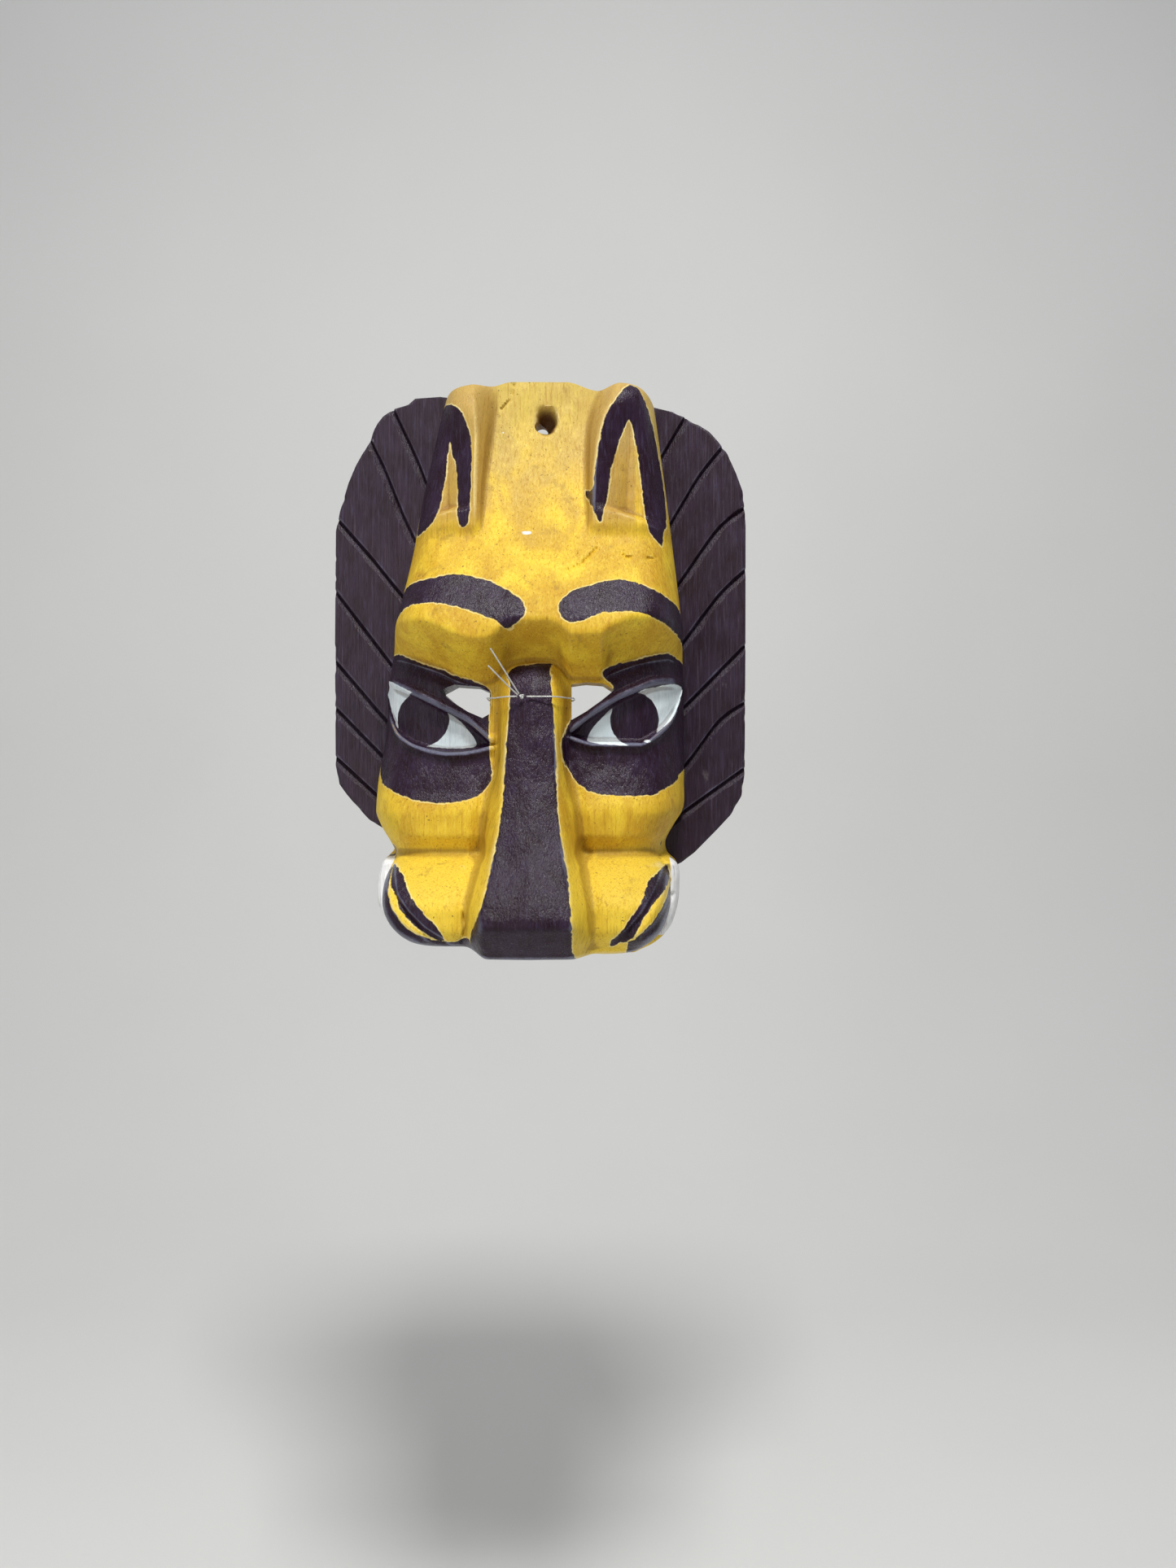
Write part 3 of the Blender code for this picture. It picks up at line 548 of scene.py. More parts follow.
def fine_depth(x, z):
    """Depth of the front with its tool marks, cuts, cracks and the pit round the hole."""
    out = carved_depth(x, z)
    pit = turn((x, z), PIT_CENTRE, PIT_HALF) + PIT_ROUGH * soft_noise(x, z, 3, 5)
    out = out - PIT_DEPTH * (1 - fade(pit, 0.25, 1.0))
    for line in NOSTRIL_CUTS:
        out = out - v_groove(x, z, line, *NOSTRIL_CUT)
    for line in LIP_CUTS:
        out = out - v_groove(x, z, line, *LIP_CUT)
    for line in (LID_LEFT, LASH_LEFT, LID_RIGHT, LASH_RIGHT):
        out = out + LID_SWELL * bell(line_distance(x, z - LID_LIFT, line)[0], LID_REACH)
    out = out - v_groove(x, z + FOLD_LINE, FOLD, *FOLD_CUT) * fade(np.abs(x - NOSE_X), 15, 21)
    for line in CRACKS:
        out = out - v_groove(x, z, line, *CRACK_CUT)
    facets = sum(high * soft_noise(x, z * squash, cell, seed) for high, squash, cell, seed in FACETS)
    return out + facets * fade(out, 3, 12)


# ---- mesh helpers ----
def new_object(name, data):
    """Object of that name in the scene."""
    body = bpy.data.objects.new(name, data)
    bpy.context.scene.collection.objects.link(body)
    return body


def finish_mesh(name, points, faces):
    """Object in metres from (x, depth, z) points in millimetres, its normals outward."""
    points = np.asarray(points, float).reshape(-1, 3)
    mesh = bpy.data.meshes.new(name)
    mesh.from_pydata((points * (MM, -MM, MM)).tolist(), [], faces)
    bm = bmesh.new()
    bm.from_mesh(mesh)
    bmesh.ops.remove_doubles(bm, verts=bm.verts, dist=1e-7)
    bmesh.ops.recalc_face_normals(bm, faces=bm.faces)
    bm.to_mesh(mesh)
    bm.free()
    return new_object(name, mesh)


def smooth(mesh, angle):
    """Smooth shading with creases sharper than the angle left hard."""
    mesh.shade_smooth()
    mesh.set_sharp_from_angle(angle=math.radians(angle))


def relief_solid(name, lines, heights, depth, back, drop=None, wall=()):
    """Closed solid with a flat back, its front given by depth(x, z) on columns along lines.

    lines(z) gives the x of every column at a height and drop(x, z) how far a point lies
    below its row. wall lists the shares of the depth at which the top and foot get a row.
    """
    shares = [0, *wall, *[1] * len(heights), *reversed(wall), 0]
    heights = [heights[0]] * (1 + len(wall)) + list(heights) + [heights[-1]] * (1 + len(wall))
    x = np.array([lines(z) for z in heights])
    z = np.repeat(np.array(heights, float)[:, None], x.shape[1], axis=1)
    if drop:
        z = z - drop(x, z)
    out = depth(x, z)
    out[:, 0] = out[:, -1] = back
    out = back + (out - back) * np.array(shares)[:, None]
    rows, width = x.shape
    grid = np.arange(rows * width).reshape(rows, width)
    quads = np.stack([grid[:-1, :-1], grid[:-1, 1:], grid[1:, 1:], grid[1:, :-1]], axis=-1)
    faces = quads.reshape(-1, 4).tolist()
    faces.append([*grid[1:-1, 0], *grid[-1], *grid[1:-1, -1][::-1], *grid[0][::-1]])
    return finish_mesh(name, np.stack([x, out, z], axis=-1), faces)


def loft(name, rings):
    """Closed tube through rings of equally many points, both ends capped."""
    sides = len(rings[0])
    last = (len(rings) - 1) * sides
    faces = [list(range(sides)), list(range(last, last + sides))]
    for low in range(0, last, sides):
        for i in range(sides):
            j = (i + 1) % sides
            faces.append([low + i, low + j, low + sides + j, low + sides + i])
    return finish_mesh(name, [point for ring in rings for point in ring], faces)


def prism(name, outline, start, end):
    """Flat plate with that (x, z) outline, from depth start to depth end."""
    return loft(name, [[(x, depth, z) for x, z in outline] for depth in (start, end)])


def round_bar(name, sections, centre):
    """Bar along the depth axis through (depth, radius) sections."""
    turns = [2 * math.pi * i / BAR_SIDES for i in range(BAR_SIDES)]
    x, z = centre
    return loft(name, [
        [(x + radius * math.cos(a), depth, z + radius * math.sin(a)) for a in turns]
        for depth, radius in sections
    ])


def cut(body, cutters):
    """Takes the cutters out of the body, one Boolean each, and removes them."""
    for cutter in cutters:
        tool = body.modifiers.new(cutter.name, "BOOLEAN")
        tool.operation = "DIFFERENCE"
        tool.solver = "EXACT"
        tool.object = cutter
    depsgraph = bpy.context.evaluated_depsgraph_get()
    body.data = bpy.data.meshes.new_from_object(body.evaluated_get(depsgraph))
    body.modifiers.clear()
    for cutter in cutters:
        bpy.data.objects.remove(cutter)


def vectors(items, name):
    """Rows of a vector property of vertices or faces, one row each."""
    flat = np.empty(len(items) * 3, np.float32)
    items.foreach_get(name, flat)
    return flat.reshape(-1, 3).astype(float)


def places(items, name):
    """x, depth and z in millimetres from a position property of vertices or faces."""
    points = vectors(items, name) / MM
    return points[:, 0], -points[:, 1], points[:, 2]


def write_attribute(mesh, name, domain, values):
    """Number per vertex (POINT) or face (FACE) that the material reads by name."""
    layer = mesh.attributes.new(name, "FLOAT", domain)
    layer.data.foreach_set("value", np.asarray(values, np.float32))


def hollowness(depth, x, z, radius):
    """How far the surface stands out from its surroundings (negative in a crease)."""
    turns = np.arange(6) * math.pi / 3
    around = sum(depth(x + radius * math.cos(a), z + radius * math.sin(a)) for a in turns) / 6
    return np.clip(depth(x, z) - around, -3, 3)


# ---- fine grids ----
def edge_drop(x, z):
    """How far the top of the block slopes down over the ears, less how far its foot rises."""
    foot_rise = along(FOOT_LINE, x) - CHIN
    under = np.clip((LIP_START - z) / (LIP_START - CHIN), 0, 1)
    return along(TOP_DROP, x) * np.clip(z / TOP, 0, 1) - foot_rise * under


def crowded(start, end, count, power):
    """Places from start to end that crowd at start, start itself left out."""
    return start + (end - start) * np.linspace(0, 1, count + 1)[1:] ** power


def face_columns(z):
    """Columns of the face block, crowded where its sides fall away and over the eyes."""
    left, right = float(along(LEFT_EDGE, z)), float(along(RIGHT_EDGE, z))
    left_side = crowded(left, left + EDGE_BAND, EDGE_COLUMNS, EDGE_CROWDING)
    right_side = crowded(right, right - EDGE_BAND, EDGE_COLUMNS, EDGE_CROWDING)[::-1]
    return np.concatenate((
        [left],
        left_side,
        np.linspace(left + EDGE_BAND, NOSE_LEFT, EYE_COLUMNS + 1)[1:],
        np.linspace(NOSE_LEFT, NOSE_RIGHT, NOSE_COLUMNS + 1)[1:],
        np.linspace(NOSE_RIGHT, right - EDGE_BAND, EYE_COLUMNS + 1)[1:-1],
        right_side,
        [right],
    ))


def face_heights():
    """Heights of the rows of the face block, crowded over the eyes and at the lower lip."""
    brow = np.linspace(TOP, EYES_TOP, BROW_ROWS, endpoint=False)
    eyes = np.linspace(EYES_TOP, EYES_FOOT, EYE_ROWS, endpoint=False)
    muzzle = np.linspace(EYES_FOOT, CHIN + LIP_BAND, MUZZLE_ROWS, endpoint=False)
    lip = CHIN + LIP_BAND * (1 - np.linspace(0, 1, LIP_ROWS)) ** 2
    return np.concatenate((brow, eyes, muzzle, lip))


def hollow_columns(z):
    """Columns of the hollow's cutter."""
    share = np.linspace(0, math.pi, HOLLOW_COLUMNS)
    left, right = float(along(LEFT_EDGE, z)) + RIM, float(along(RIGHT_EDGE, z)) - RIM
    return left + (right - left) * (1 - np.cos(share)) / 2


def gouged_depth(x, z):
    """Hollow with the long gouge strokes that made it."""
    stroke = (x + GOUGE_WANDER * soft_noise(x, z, 26, 21)) / GOUGE_WIDTH
    run = (z + GOUGE_STAGGER * soft_noise(x, z, 17, 22)) / GOUGE_LENGTH + 0.5 * np.floor(stroke)
    across, lengthways = stroke - np.floor(stroke) - 0.5, run - np.floor(run) - 0.5
    return hollow_depth(x, z) - GOUGE_DEPTH * (4 * across**2 + 1.2 * lengthways**2)


# ---- mane boards ----
def grown(outline, by):
    """Outline moved outward by a small clearance."""
    points = [np.array(p, float) for p in outline]
    following = points[1:] + points[:1]
    area = sum(a[0] * b[1] - b[0] * a[1] for a, b in zip(points, following))
    result = []
    for i, point in enumerate(points):
        edges = (point - points[i - 1], following[i] - point)
        normals = [np.array((e[1], -e[0])) / np.linalg.norm(e) * np.sign(area) for e in edges]
        middle = normals[0] + normals[1]
        result.append(tuple(point + middle * by / np.dot(middle, normals[0])))
    return result


def inner_edge(edge, side, span):
    """Points of a mane board's hidden edge, lapped under the face block."""
    heights = np.linspace(*span, 9)
    return [(float(along(edge, z)) - side * LAP, float(z)) for z in heights]


def nail_places(edge, side):
    """Centres (x, z) of the nails along one mane board's hidden edge."""
    return [(float(along(edge, z)) - side * (LAP - NAIL_INSET), z) for z in NAIL_HEIGHTS]


def nail_hole(name, place):
    """Cutter that clears a nail, open at the back."""
    sections = (
        (-3.0, NAIL_HEAD_RADIUS + GAP),
        (NAIL_SUNK + NAIL_HEAD + GAP, NAIL_HEAD_RADIUS + GAP),
        (NAIL_NECK + NAIL_HEAD + GAP, NAIL_RADIUS + GAP),
        (NAIL_LENGTH - NAIL_TIP + GAP, NAIL_RADIUS + GAP),
        (NAIL_LENGTH + GAP, NAIL_TIP_RADIUS + GAP),
    )
    return round_bar(name, sections, place)


def v_cut(name, line):
    """Cutter of a V cut along a line, steep above and bevelled below."""
    line = rounded_line(line)
    ahead = np.gradient(line, axis=0)
    ahead = ahead / np.linalg.norm(ahead, axis=1)[:, None]
    up = np.stack([-ahead[:, 1], ahead[:, 0]], axis=-1)
    up = up * np.sign(up[:, 1:])
    open_at = BOARD + GROOVE_DEPTH  # the V is drawn as far above the face as it goes below it
    waver = 1 + GROOVE_WAVER * soft_noise(line[:, 0], line[:, 1], 6, 34)[:, None]
    above, below = line + up * 2 * GROOVE_SHARP * waver, line - up * 2 * GROOVE_BEVEL * waver
    return loft(name, [
        [(px, BOARD - GROOVE_DEPTH, pz), (ax, open_at, az), (bx, open_at, bz)]
        for (px, pz), (ax, az), (bx, bz) in zip(line, above, below)
    ])


def mane_board(name, edge, side, outline, grooves, span, nails):
    """Mane board: a plank with V cuts, a worn rim and hand-planed facets."""
    reach_x, reach_z = np.array(sorted(outline, key=lambda point: point[1])).T
    hidden = [outline[0], *inner_edge(edge, side, span), outline[-1]]
    hidden_x, hidden_z = np.array(sorted(hidden, key=lambda point: point[1])).T
    base = name + "_carved"

    def columns(z):
        outer, inner = np.interp(z, reach_z, reach_x), np.interp(z, hidden_z, hidden_x)
        band = outer + np.clip(inner - outer, -RIM_BAND, RIM_BAND) * 0.9
        rim = crowded(outer, band, RIM_COLUMNS, RIM_CROWDING)
        plain = np.linspace(band, inner, BOARD_COLUMNS + 1)[1:]
        return np.concatenate(([outer], rim, plain))[::-side]

    def plank(x, z):
        from_rim = np.abs(np.interp(z, reach_z, reach_x) - x)
        chipped = fade(soft_noise(x, z, 5, 31), 0.24, 0.9)
        rim = RIM_DROP * (0.5 + 2.2 * chipped) * (1 - np.clip(from_rim / RIM_BAND, 0, 1)) ** 2
        return BOARD - rim - 0.15 * (1 + soft_noise(x, z * 0.4, 7, 32) * fade(from_rim, 0, 4))

    def depth(x, z):
        out = plank(x, z)
        for line in grooves:
            out = out - v_groove(x, z, line, GROOVE_SHARP, GROOVE_BEVEL, GROOVE_DEPTH)
        return out

    rows = np.linspace(max(reach_z) - 0.05, min(reach_z) + 0.05, BOARD_ROWS)
    board = relief_solid(base, columns, rows, plank, 0.0, None, BOARD_WALL)
    cutters = [v_cut(f"{name}_cut_{i}", line) for i, line in enumerate(grooves)]
    cutters += [nail_hole(f"{name}_hole_{i}", place) for i, place in enumerate(nails)]
    cut(board, cutters)
    smooth(board.data, BOARD_SMOOTH)
    x, _, z = places(board.data.vertices, "co")
    # raised edges of the board: worn paint and painted highlight
    write_attribute(board.data, "wear_and_highlight", "POINT", GROOVE_WEAR_AND_HIGHLIGHT * hollowness(depth, x, z, 1.6))
    _, deep, _ = places(board.data.polygons, "center")
    back = (deep < 0.2) | (vectors(board.data.polygons, "normal")[:, 1] > 0.9)
    write_attribute(board.data, "bare", "FACE", back)
    return board
# ---- materials ----
def linear(channel):
    """Linear value of one 0-255 sRGB channel."""
    share = channel / 255
    return share / 12.92 if channel < 11 else ((share + 0.055) / 1.055) ** 2.4


def srgb(*channels):
    """Linear colour from a 0-255 sRGB one."""
    return tuple(linear(channel) for channel in channels)


class Paint:
    """Node tree of one material with short helpers for layers of colour."""

    def __init__(self, name):
        self.material = bpy.data.materials.new(name)
        self.material.use_nodes = True
        self.tree = self.material.node_tree
        self.shader = self.tree.nodes["Principled BSDF"]
        self.object = self.add("ShaderNodeTexCoord").outputs["Object"]

    def add(self, kind, **settings):
        """New node with those settings."""
        node = self.tree.nodes.new(kind)
        for key, value in settings.items():
            setattr(node, key, value)
        return node

    def feed(self, socket, value):
        """Links a socket or sets a plain value."""
        if isinstance(value, bpy.types.NodeSocket):
            self.tree.links.new(value, socket)
        elif isinstance(value, tuple) and len(value) == 3 and len(socket.default_value) == 4:
            socket.default_value = (*value, 1)
        else:
            socket.default_value = value

    def noise(self, cell, detail=3.0, roughness=0.55, distortion=0.0, shift=(0, 0, 0)):
        """Noise from 0 to 1 whose cells have the given size in millimetres on each axis."""
        mapping = self.add("ShaderNodeMapping")
        self.feed(mapping.inputs["Vector"], self.object)
        mapping.inputs["Scale"].default_value = tuple(1 / (size * MM) for size in cell)
        mapping.inputs["Location"].default_value = shift
        node = self.add("ShaderNodeTexNoise")
        self.feed(node.inputs["Vector"], mapping.outputs["Vector"])
        for key, value in (
            ("Scale", 1.0), ("Detail", detail), ("Roughness", roughness), ("Distortion", distortion),
        ):
            node.inputs[key].default_value = value
        return node.outputs["Fac"]

    def attribute(self, name):
        """Numbers written on the mesh under that name."""
        return self.add("ShaderNodeAttribute", attribute_name=name).outputs["Fac"]

    def math(self, operation, a, b=0.0, c=0.0):
        """One sum of sockets or numbers."""
        node = self.add("ShaderNodeMath", operation=operation)
        for socket, value in zip(node.inputs, (a, b, c)):
            self.feed(socket, value)
        return node.outputs["Value"]

    def sway(self, value, noise, amount):
        """A value moved up or down by noise, at most by half the amount."""
        return self.math("ADD", value, self.math("MULTIPLY", self.math("SUBTRACT", noise, 0.5), amount))

    def ramp(self, value, low, high, start=0.0, end=1.0):
        """Maps low..high to start..end and holds both ends."""
        node = self.add("ShaderNodeMapRange", clamp=True, interpolation_type="SMOOTHSTEP")
        for socket, number in zip(node.inputs, (value, low, high, start, end)):
            self.feed(socket, number)
        return node.outputs["Result"]

    def mix(self, factor, under, over):
        """over laid on under by factor."""
        node = self.add("ShaderNodeMix", data_type="RGBA")
        self.feed(node.inputs[0], factor)
        self.feed(node.inputs[6], under)
        self.feed(node.inputs[7], over)
        return node.outputs[2]

    def layers(self, colour, *coats):
        """Shades over a colour, each as (driver, low, high, strength at high, sRGB shade)."""
        for driver, low, high, strength, shade in coats:
            colour = self.mix(self.ramp(driver, low, high, 0.0, strength), colour, srgb(*shade))
        return colour

    def blend(self, factor, low, high):
        """Number between low and high by factor."""
        node = self.add("ShaderNodeMix", data_type="FLOAT")
        self.feed(node.inputs[0], factor)
        self.feed(node.inputs[2], low)
        self.feed(node.inputs[3], high)
        return node.outputs[0]

    def height(self):
        """Height above the hanging hole in millimetres."""
        split = self.add("ShaderNodeSeparateXYZ")
        self.feed(split.inputs[0], self.object)
        return self.math("DIVIDE", split.outputs["Z"], MM)

    def bumps(self, *reliefs):
        """Normal of several reliefs, each as (height, millimetres), one over the other."""
        normal = None
        for height, millimetres in reliefs:
            node = self.add("ShaderNodeBump")
            self.feed(node.inputs["Height"], height)
            node.inputs["Distance"].default_value = millimetres * MM
            node.inputs["Strength"].default_value = 1.0
            if normal is not None:
                self.feed(node.inputs["Normal"], normal)
            normal = node.outputs["Normal"]
        return normal

    def finish(self, colour, roughness, normal, **more):
        """Feeds the shader; an underscore in a name stands for a space."""
        named = {"Base Color": colour, "Roughness": roughness, "Normal": normal}
        named.update((key.replace("_", " "), value) for key, value in more.items())
        for key, value in named.items():
            self.feed(self.shader.inputs[key], value)
        return self.material


def bare_wood(p):
    """Raw pale wood: soft bands, dark pores along the grain, grey hand-darkened patches."""
    return p.layers(
        srgb(196, 158, 108),
        (p.noise((5, 6, 70), 4, 0.6, 0.8), 0.3, 0.7, 1.0, (160, 118, 70)),
        (p.noise((0.5, 0.5, 9), 2, 0.6), 0.55, 0.75, 0.6, (105, 70, 40)),
        (p.noise((22, 22, 30), 4, 0.6), 0.45, 0.75, 0.55, (120, 96, 72)),
    )


def dark_paint(p, streak, fine, wear_and_highlight, scuff):
    """Worn blue-black paint with brush lines, paler grey-blue on raised edges, partly rubbed paint and
    partly painted highlight.
    """
    patch = p.noise((9, 9, 14), 4, 0.6)
    colour = p.layers(
        srgb(34, 12, 25),
        (patch, 0.32, 0.68, 1.0, (46, 28, 48)),
        (streak, 0.48, 0.75, 0.45, (72, 64, 90)),
        (fine, 0.64, 0.82, 0.18, (90, 80, 100)),
        # raised edges paler grey-blue: partly rubbed paint, partly painted highlight
        (p.sway(wear_and_highlight, patch, 0.7), 0.22, 0.75, 0.70, (122, 124, 146)),
    )
    return p.mix(scuff, colour, srgb(150, 142, 140))


def dark_brush(p):
    """Brush lines and fine scratches of the dark paint."""
    return p.noise((1.1, 1.1, 14), 4, 0.6, 0.4), p.noise((0.4, 0.4, 1.6), 2, 0.6)


def yellow_paint(p, streak, patch, fine, wear_and_highlight, crease):
    """Yellow coat: bright and ochre patches, pale on the forehead, painted shade in the creases, a dark
    brown pit round the hole that is dirty wood with painted shade, paler worn edges with painted
    highlight.
    """
    broad = p.noise((40, 40, 60), 2, 0.5, 0.0, (0.3, 0.1, 0.7))
    grime = p.noise((9, 9, 13), 5, 0.7, 0.6, (2, 5, 1))
    speck = p.noise((1.1, 1.1, 1.1), 1, 0.5, 0.0, (3, 1, 2))
    height = p.height()
    yellow = p.layers(
        srgb(240, 204, 56),
        (patch, 0.32, 0.68, 1.0, (208, 162, 38)),
        (broad, 0.42, 0.66, 0.5, (196, 146, 36)),
        (p.sway(height, patch, 90), -66, 10, 0.72, (206, 182, 106)),
    )
    lemon = p.math("MULTIPLY", p.ramp(height, -192, -212), p.ramp(patch, 0.2, 0.6, 0.15, 0.60))
    yellow = p.mix(lemon, yellow, srgb(255, 222, 74))
    ear_wall = p.math("MULTIPLY", p.attribute("ear_wall"), p.ramp(streak, 0.3, 0.6, 0.95, 0.45))
    yellow = p.mix(ear_wall, yellow, p.mix(patch, srgb(160, 118, 56), srgb(196, 160, 100)))
    yellow = p.layers(
        yellow,
        (streak, 0.50, 0.72, 0.55, (170, 118, 34)),
        (streak, 0.46, 0.28, 0.35, (250, 226, 96)),
        (fine, 0.56, 0.76, 0.40, (140, 94, 32)),
        (grime, 0.56, 0.72, 0.42, (128, 92, 44)),
        # creases darker brown: painted shade
        (crease, -0.12, -0.9, 0.5, (122, 76, 24)),
        (speck, 0.71, 0.77, 0.75, (84, 56, 36)),
        # raised edges paler cream: partly worn paint, partly painted highlight
        (p.sway(wear_and_highlight, fine, 0.6), 0.26, 0.70, 0.65, (244, 220, 150)),
    )
    # pit round the hole dark brown: dirty bare wood and painted shade in the recess
    pit = p.ramp(p.attribute("pit"), 0.02, 0.45, 0.0, 0.92)
    return p.mix(pit, yellow, p.mix(fine, srgb(112, 66, 42), srgb(58, 34, 30)))


def carved_finish():
    """Paint of the face block: yellow, black and white layers over bare wood."""
    p = Paint("carved_paint")
    wear_and_highlight, crease, bare = (p.attribute(name) for name in ("wear_and_highlight", "crease", "bare"))
    wobble = p.math("MULTIPLY_ADD", p.noise((3.2, 3.2, 4.5), 3, 0.55, 0.4), 2.2, -1.1)
    small_wobble = p.math("MULTIPLY", wobble, 0.45)
    streak = p.noise((0.9, 0.9, 18), 4, 0.62, 0.3)
    patch = p.noise((16, 16, 26), 4, 0.6, 0.5)
    fine = p.noise((0.35, 0.35, 2.2), 2, 0.6)

    yellow = yellow_paint(p, streak, patch, fine, wear_and_highlight, crease)
    edge = p.math("ADD", p.attribute("dark"), wobble)
    halo = p.math("MULTIPLY", p.ramp(edge, -0.75, -0.35), p.ramp(patch, 0.35, 0.6, 0.1, 0.6))
    yellow = p.mix(halo, yellow, srgb(255, 240, 170))
    black = dark_paint(p, *dark_brush(p), wear_and_highlight, p.attribute("scuff"))
    scraped = p.math("ADD", wear_and_highlight, p.math("MULTIPLY", fine, 0.5))
    black = p.layers(black, (scraped, 1.35, 1.7, 0.7, (176, 150, 112)))
    dark_mask = p.ramp(edge, -0.22, 0.22)
    colour = p.mix(dark_mask, yellow, black)

    white = p.layers(
        srgb(246, 252, 252),
        (patch, 0.3, 0.7, 1.0, (222, 234, 238)),
        (streak, 0.55, 0.8, 0.45, (168, 170, 168)),
        # creases darker grey: painted shade
        (crease, -0.1, -0.9, 0.55, (110, 98, 92)),
    )
    eye_edge = p.math("ADD", p.attribute("eye"), small_wobble)
    colour = p.mix(p.ramp(eye_edge, -0.18, 0.18), colour, white)
    chalk = p.layers(srgb(248, 248, 246), (streak, 0.46, 0.78, 1.0, (184, 170, 166)))
    tooth_edge = p.math("ADD", p.attribute("tooth"), small_wobble)
    colour = p.mix(p.ramp(tooth_edge, -0.2, 0.2), colour, chalk)
    colour = p.mix(bare, colour, bare_wood(p))

    yellow_gloss = p.ramp(streak, 0.3, 0.8, 0.42, 0.62)
    black_gloss = p.ramp(streak, 0.3, 0.8, 0.22, 0.42)
    gloss = p.blend(bare, p.blend(dark_mask, yellow_gloss, black_gloss), 0.85)
    normal = p.bumps(
        (streak, 0.34),
        (fine, 0.14),
        (p.noise((3.5, 3.5, 8), 3, 0.6), 0.55),
        (p.math("MULTIPLY", dark_mask, p.math("SUBTRACT", 1.0, bare)), 0.10),
    )
    return p.finish(colour, gloss, normal, Specular_IOR_Level=0.24)


def mane_finish():
    """Black-purple plank paint with lengthwise grain, rubbed rims, painted highlights on raised edges,
    and bare back.
    """
    p = Paint("mane_paint")
    wear_and_highlight, bare = p.attribute("wear_and_highlight"), p.attribute("bare")
    streak, fine = dark_brush(p)
    scuff = p.ramp(p.noise((14, 14, 22), 4, 0.7, 0, (5, 0, 2)), 0.68, 0.80, 0.0, 0.35)
    grain = p.noise((0.8, 0.8, 34), 4, 0.65, 0.5)
    colour = p.layers(
        dark_paint(p, streak, fine, wear_and_highlight, scuff),
        (grain, 0.52, 0.72, 0.5, (44, 28, 40)),
        (grain, 0.44, 0.28, 0.35, (98, 78, 92)),
        (p.math("ADD", wear_and_highlight, p.math("MULTIPLY", fine, 0.6)), 0.80, 1.10, 0.7, (140, 112, 98)),
    )
    colour = p.mix(bare, colour, bare_wood(p))
    gloss = p.blend(bare, p.ramp(streak, 0.3, 0.8, 0.36, 0.58), 0.85)
    normal = p.bumps((grain, 0.45), (streak, 0.20), (fine, 0.10))
    return p.finish(colour, gloss, normal, Specular_IOR_Level=0.45)


def steel_finish():
    """Old wire-nail steel with rust freckles."""
    p = Paint("nail_steel")
    rust = p.ramp(p.noise((0.7, 0.7, 0.7), 4, 0.65, 0.3), 0.46, 0.62)
    scratch = p.noise((0.15, 0.9, 0.15), 2, 0.6)
    steel = p.layers(srgb(120, 116, 110), (scratch, 0.4, 0.7, 1.0, (86, 80, 74)))
    rusty = p.mix(p.noise((0.3, 0.3, 0.3), 3, 0.6), srgb(112, 62, 34), srgb(70, 40, 26))
    return p.finish(
        p.mix(rust, steel, rusty), p.blend(rust, 0.38, 0.85), p.bumps((scratch, 0.03), (rust, 0.06)),
        Metallic=p.blend(rust, 0.95, 0.1),
    )


def nylon_finish():
    """Clear-white nylon line with dust and a faint lengthwise draw mark."""
    p = Paint("tie_nylon")
    dust = p.ramp(p.noise((0.9, 0.9, 0.9), 3, 0.6), 0.45, 0.72)
    draw = p.noise((0.2, 0.2, 2.5), 2, 0.5)
    colour = p.mix(dust, srgb(226, 228, 224), srgb(176, 170, 158))
    colour = p.layers(colour, (draw, 0.5, 0.7, 0.3, (246, 248, 248)))
    return p.finish(
        colour, p.blend(dust, 0.22, 0.5), p.bumps((draw, 0.02)),
        Transmission_Weight=0.25, Coat_Weight=0.3,
    )


def paper_finish():
    """Pale paper with a faint tooth."""
    p = Paint("paper")
    tone = p.mix(p.noise((300, 300, 300), 2, 0.5), srgb(236, 235, 232), srgb(228, 227, 224))
    return p.finish(tone, 0.9, p.bumps((p.noise((1.5, 1.5, 1.5), 2), 0.05)))


# ---- resolution and tool marks ----
def detail(quick, full):
    return full


EDGE_BAND = 6.0  # width of the crowded columns at both edges of the face block
NOSE_LEFT, NOSE_RIGHT = -22.0, 15.0
EYES_TOP, EYES_FOOT = -106.0, -162.0
LIP_BAND, LIP_ROWS = 8.0, 20
EDGE_COLUMNS = detail(14, 24)
EYE_COLUMNS = detail(40, 78)
NOSE_COLUMNS = detail(22, 38)
BROW_ROWS = detail(70, 120)
EYE_ROWS = detail(50, 96)
MUZZLE_ROWS = detail(44, 76)
HOLLOW_COLUMNS = detail(34, 64)
HOLLOW_ROWS = detail(60, 120)
BOARD_COLUMNS = detail(36, 60)
BOARD_ROWS = detail(150, 290)
RIM_COLUMNS = 7
BAR_SIDES = 24
HOLLOW_TOP, HOLLOW_FOOT = 9.0, -237.0
GOUGE_WIDTH, GOUGE_LENGTH, GOUGE_DEPTH = 8.0, 26.0, 0.75
RIM_BAND, RIM_DROP = 2.2, 1.0  # worn rim of a mane board
BLOCK_WALL = (0.3, 0.55, 0.8)  # shares of the depth with a row on the top and foot faces
BOARD_WALL = (0.35, 0.7)
BLOCK_SMOOTH, BOARD_SMOOTH = 42, 38  # degrees up to which an edge is shaded smooth
MUZZLE_CLEAR = 2.0  # a point is on the muzzle when it is this far in front of the jaw
WEAR_AND_HIGHLIGHT_REACH, CREASE_REACH = 1.3, 2.4  # how far round a point its worn edges with painted highlight and its painted crease shade look
GROOVE_WEAR_AND_HIGHLIGHT = 0.45  # the boards get less worn edges and painted highlight than the face
GROOVE_WAVER = 0.16
EDGE_CROWDING, RIM_CROWDING = 2.2, 1.8
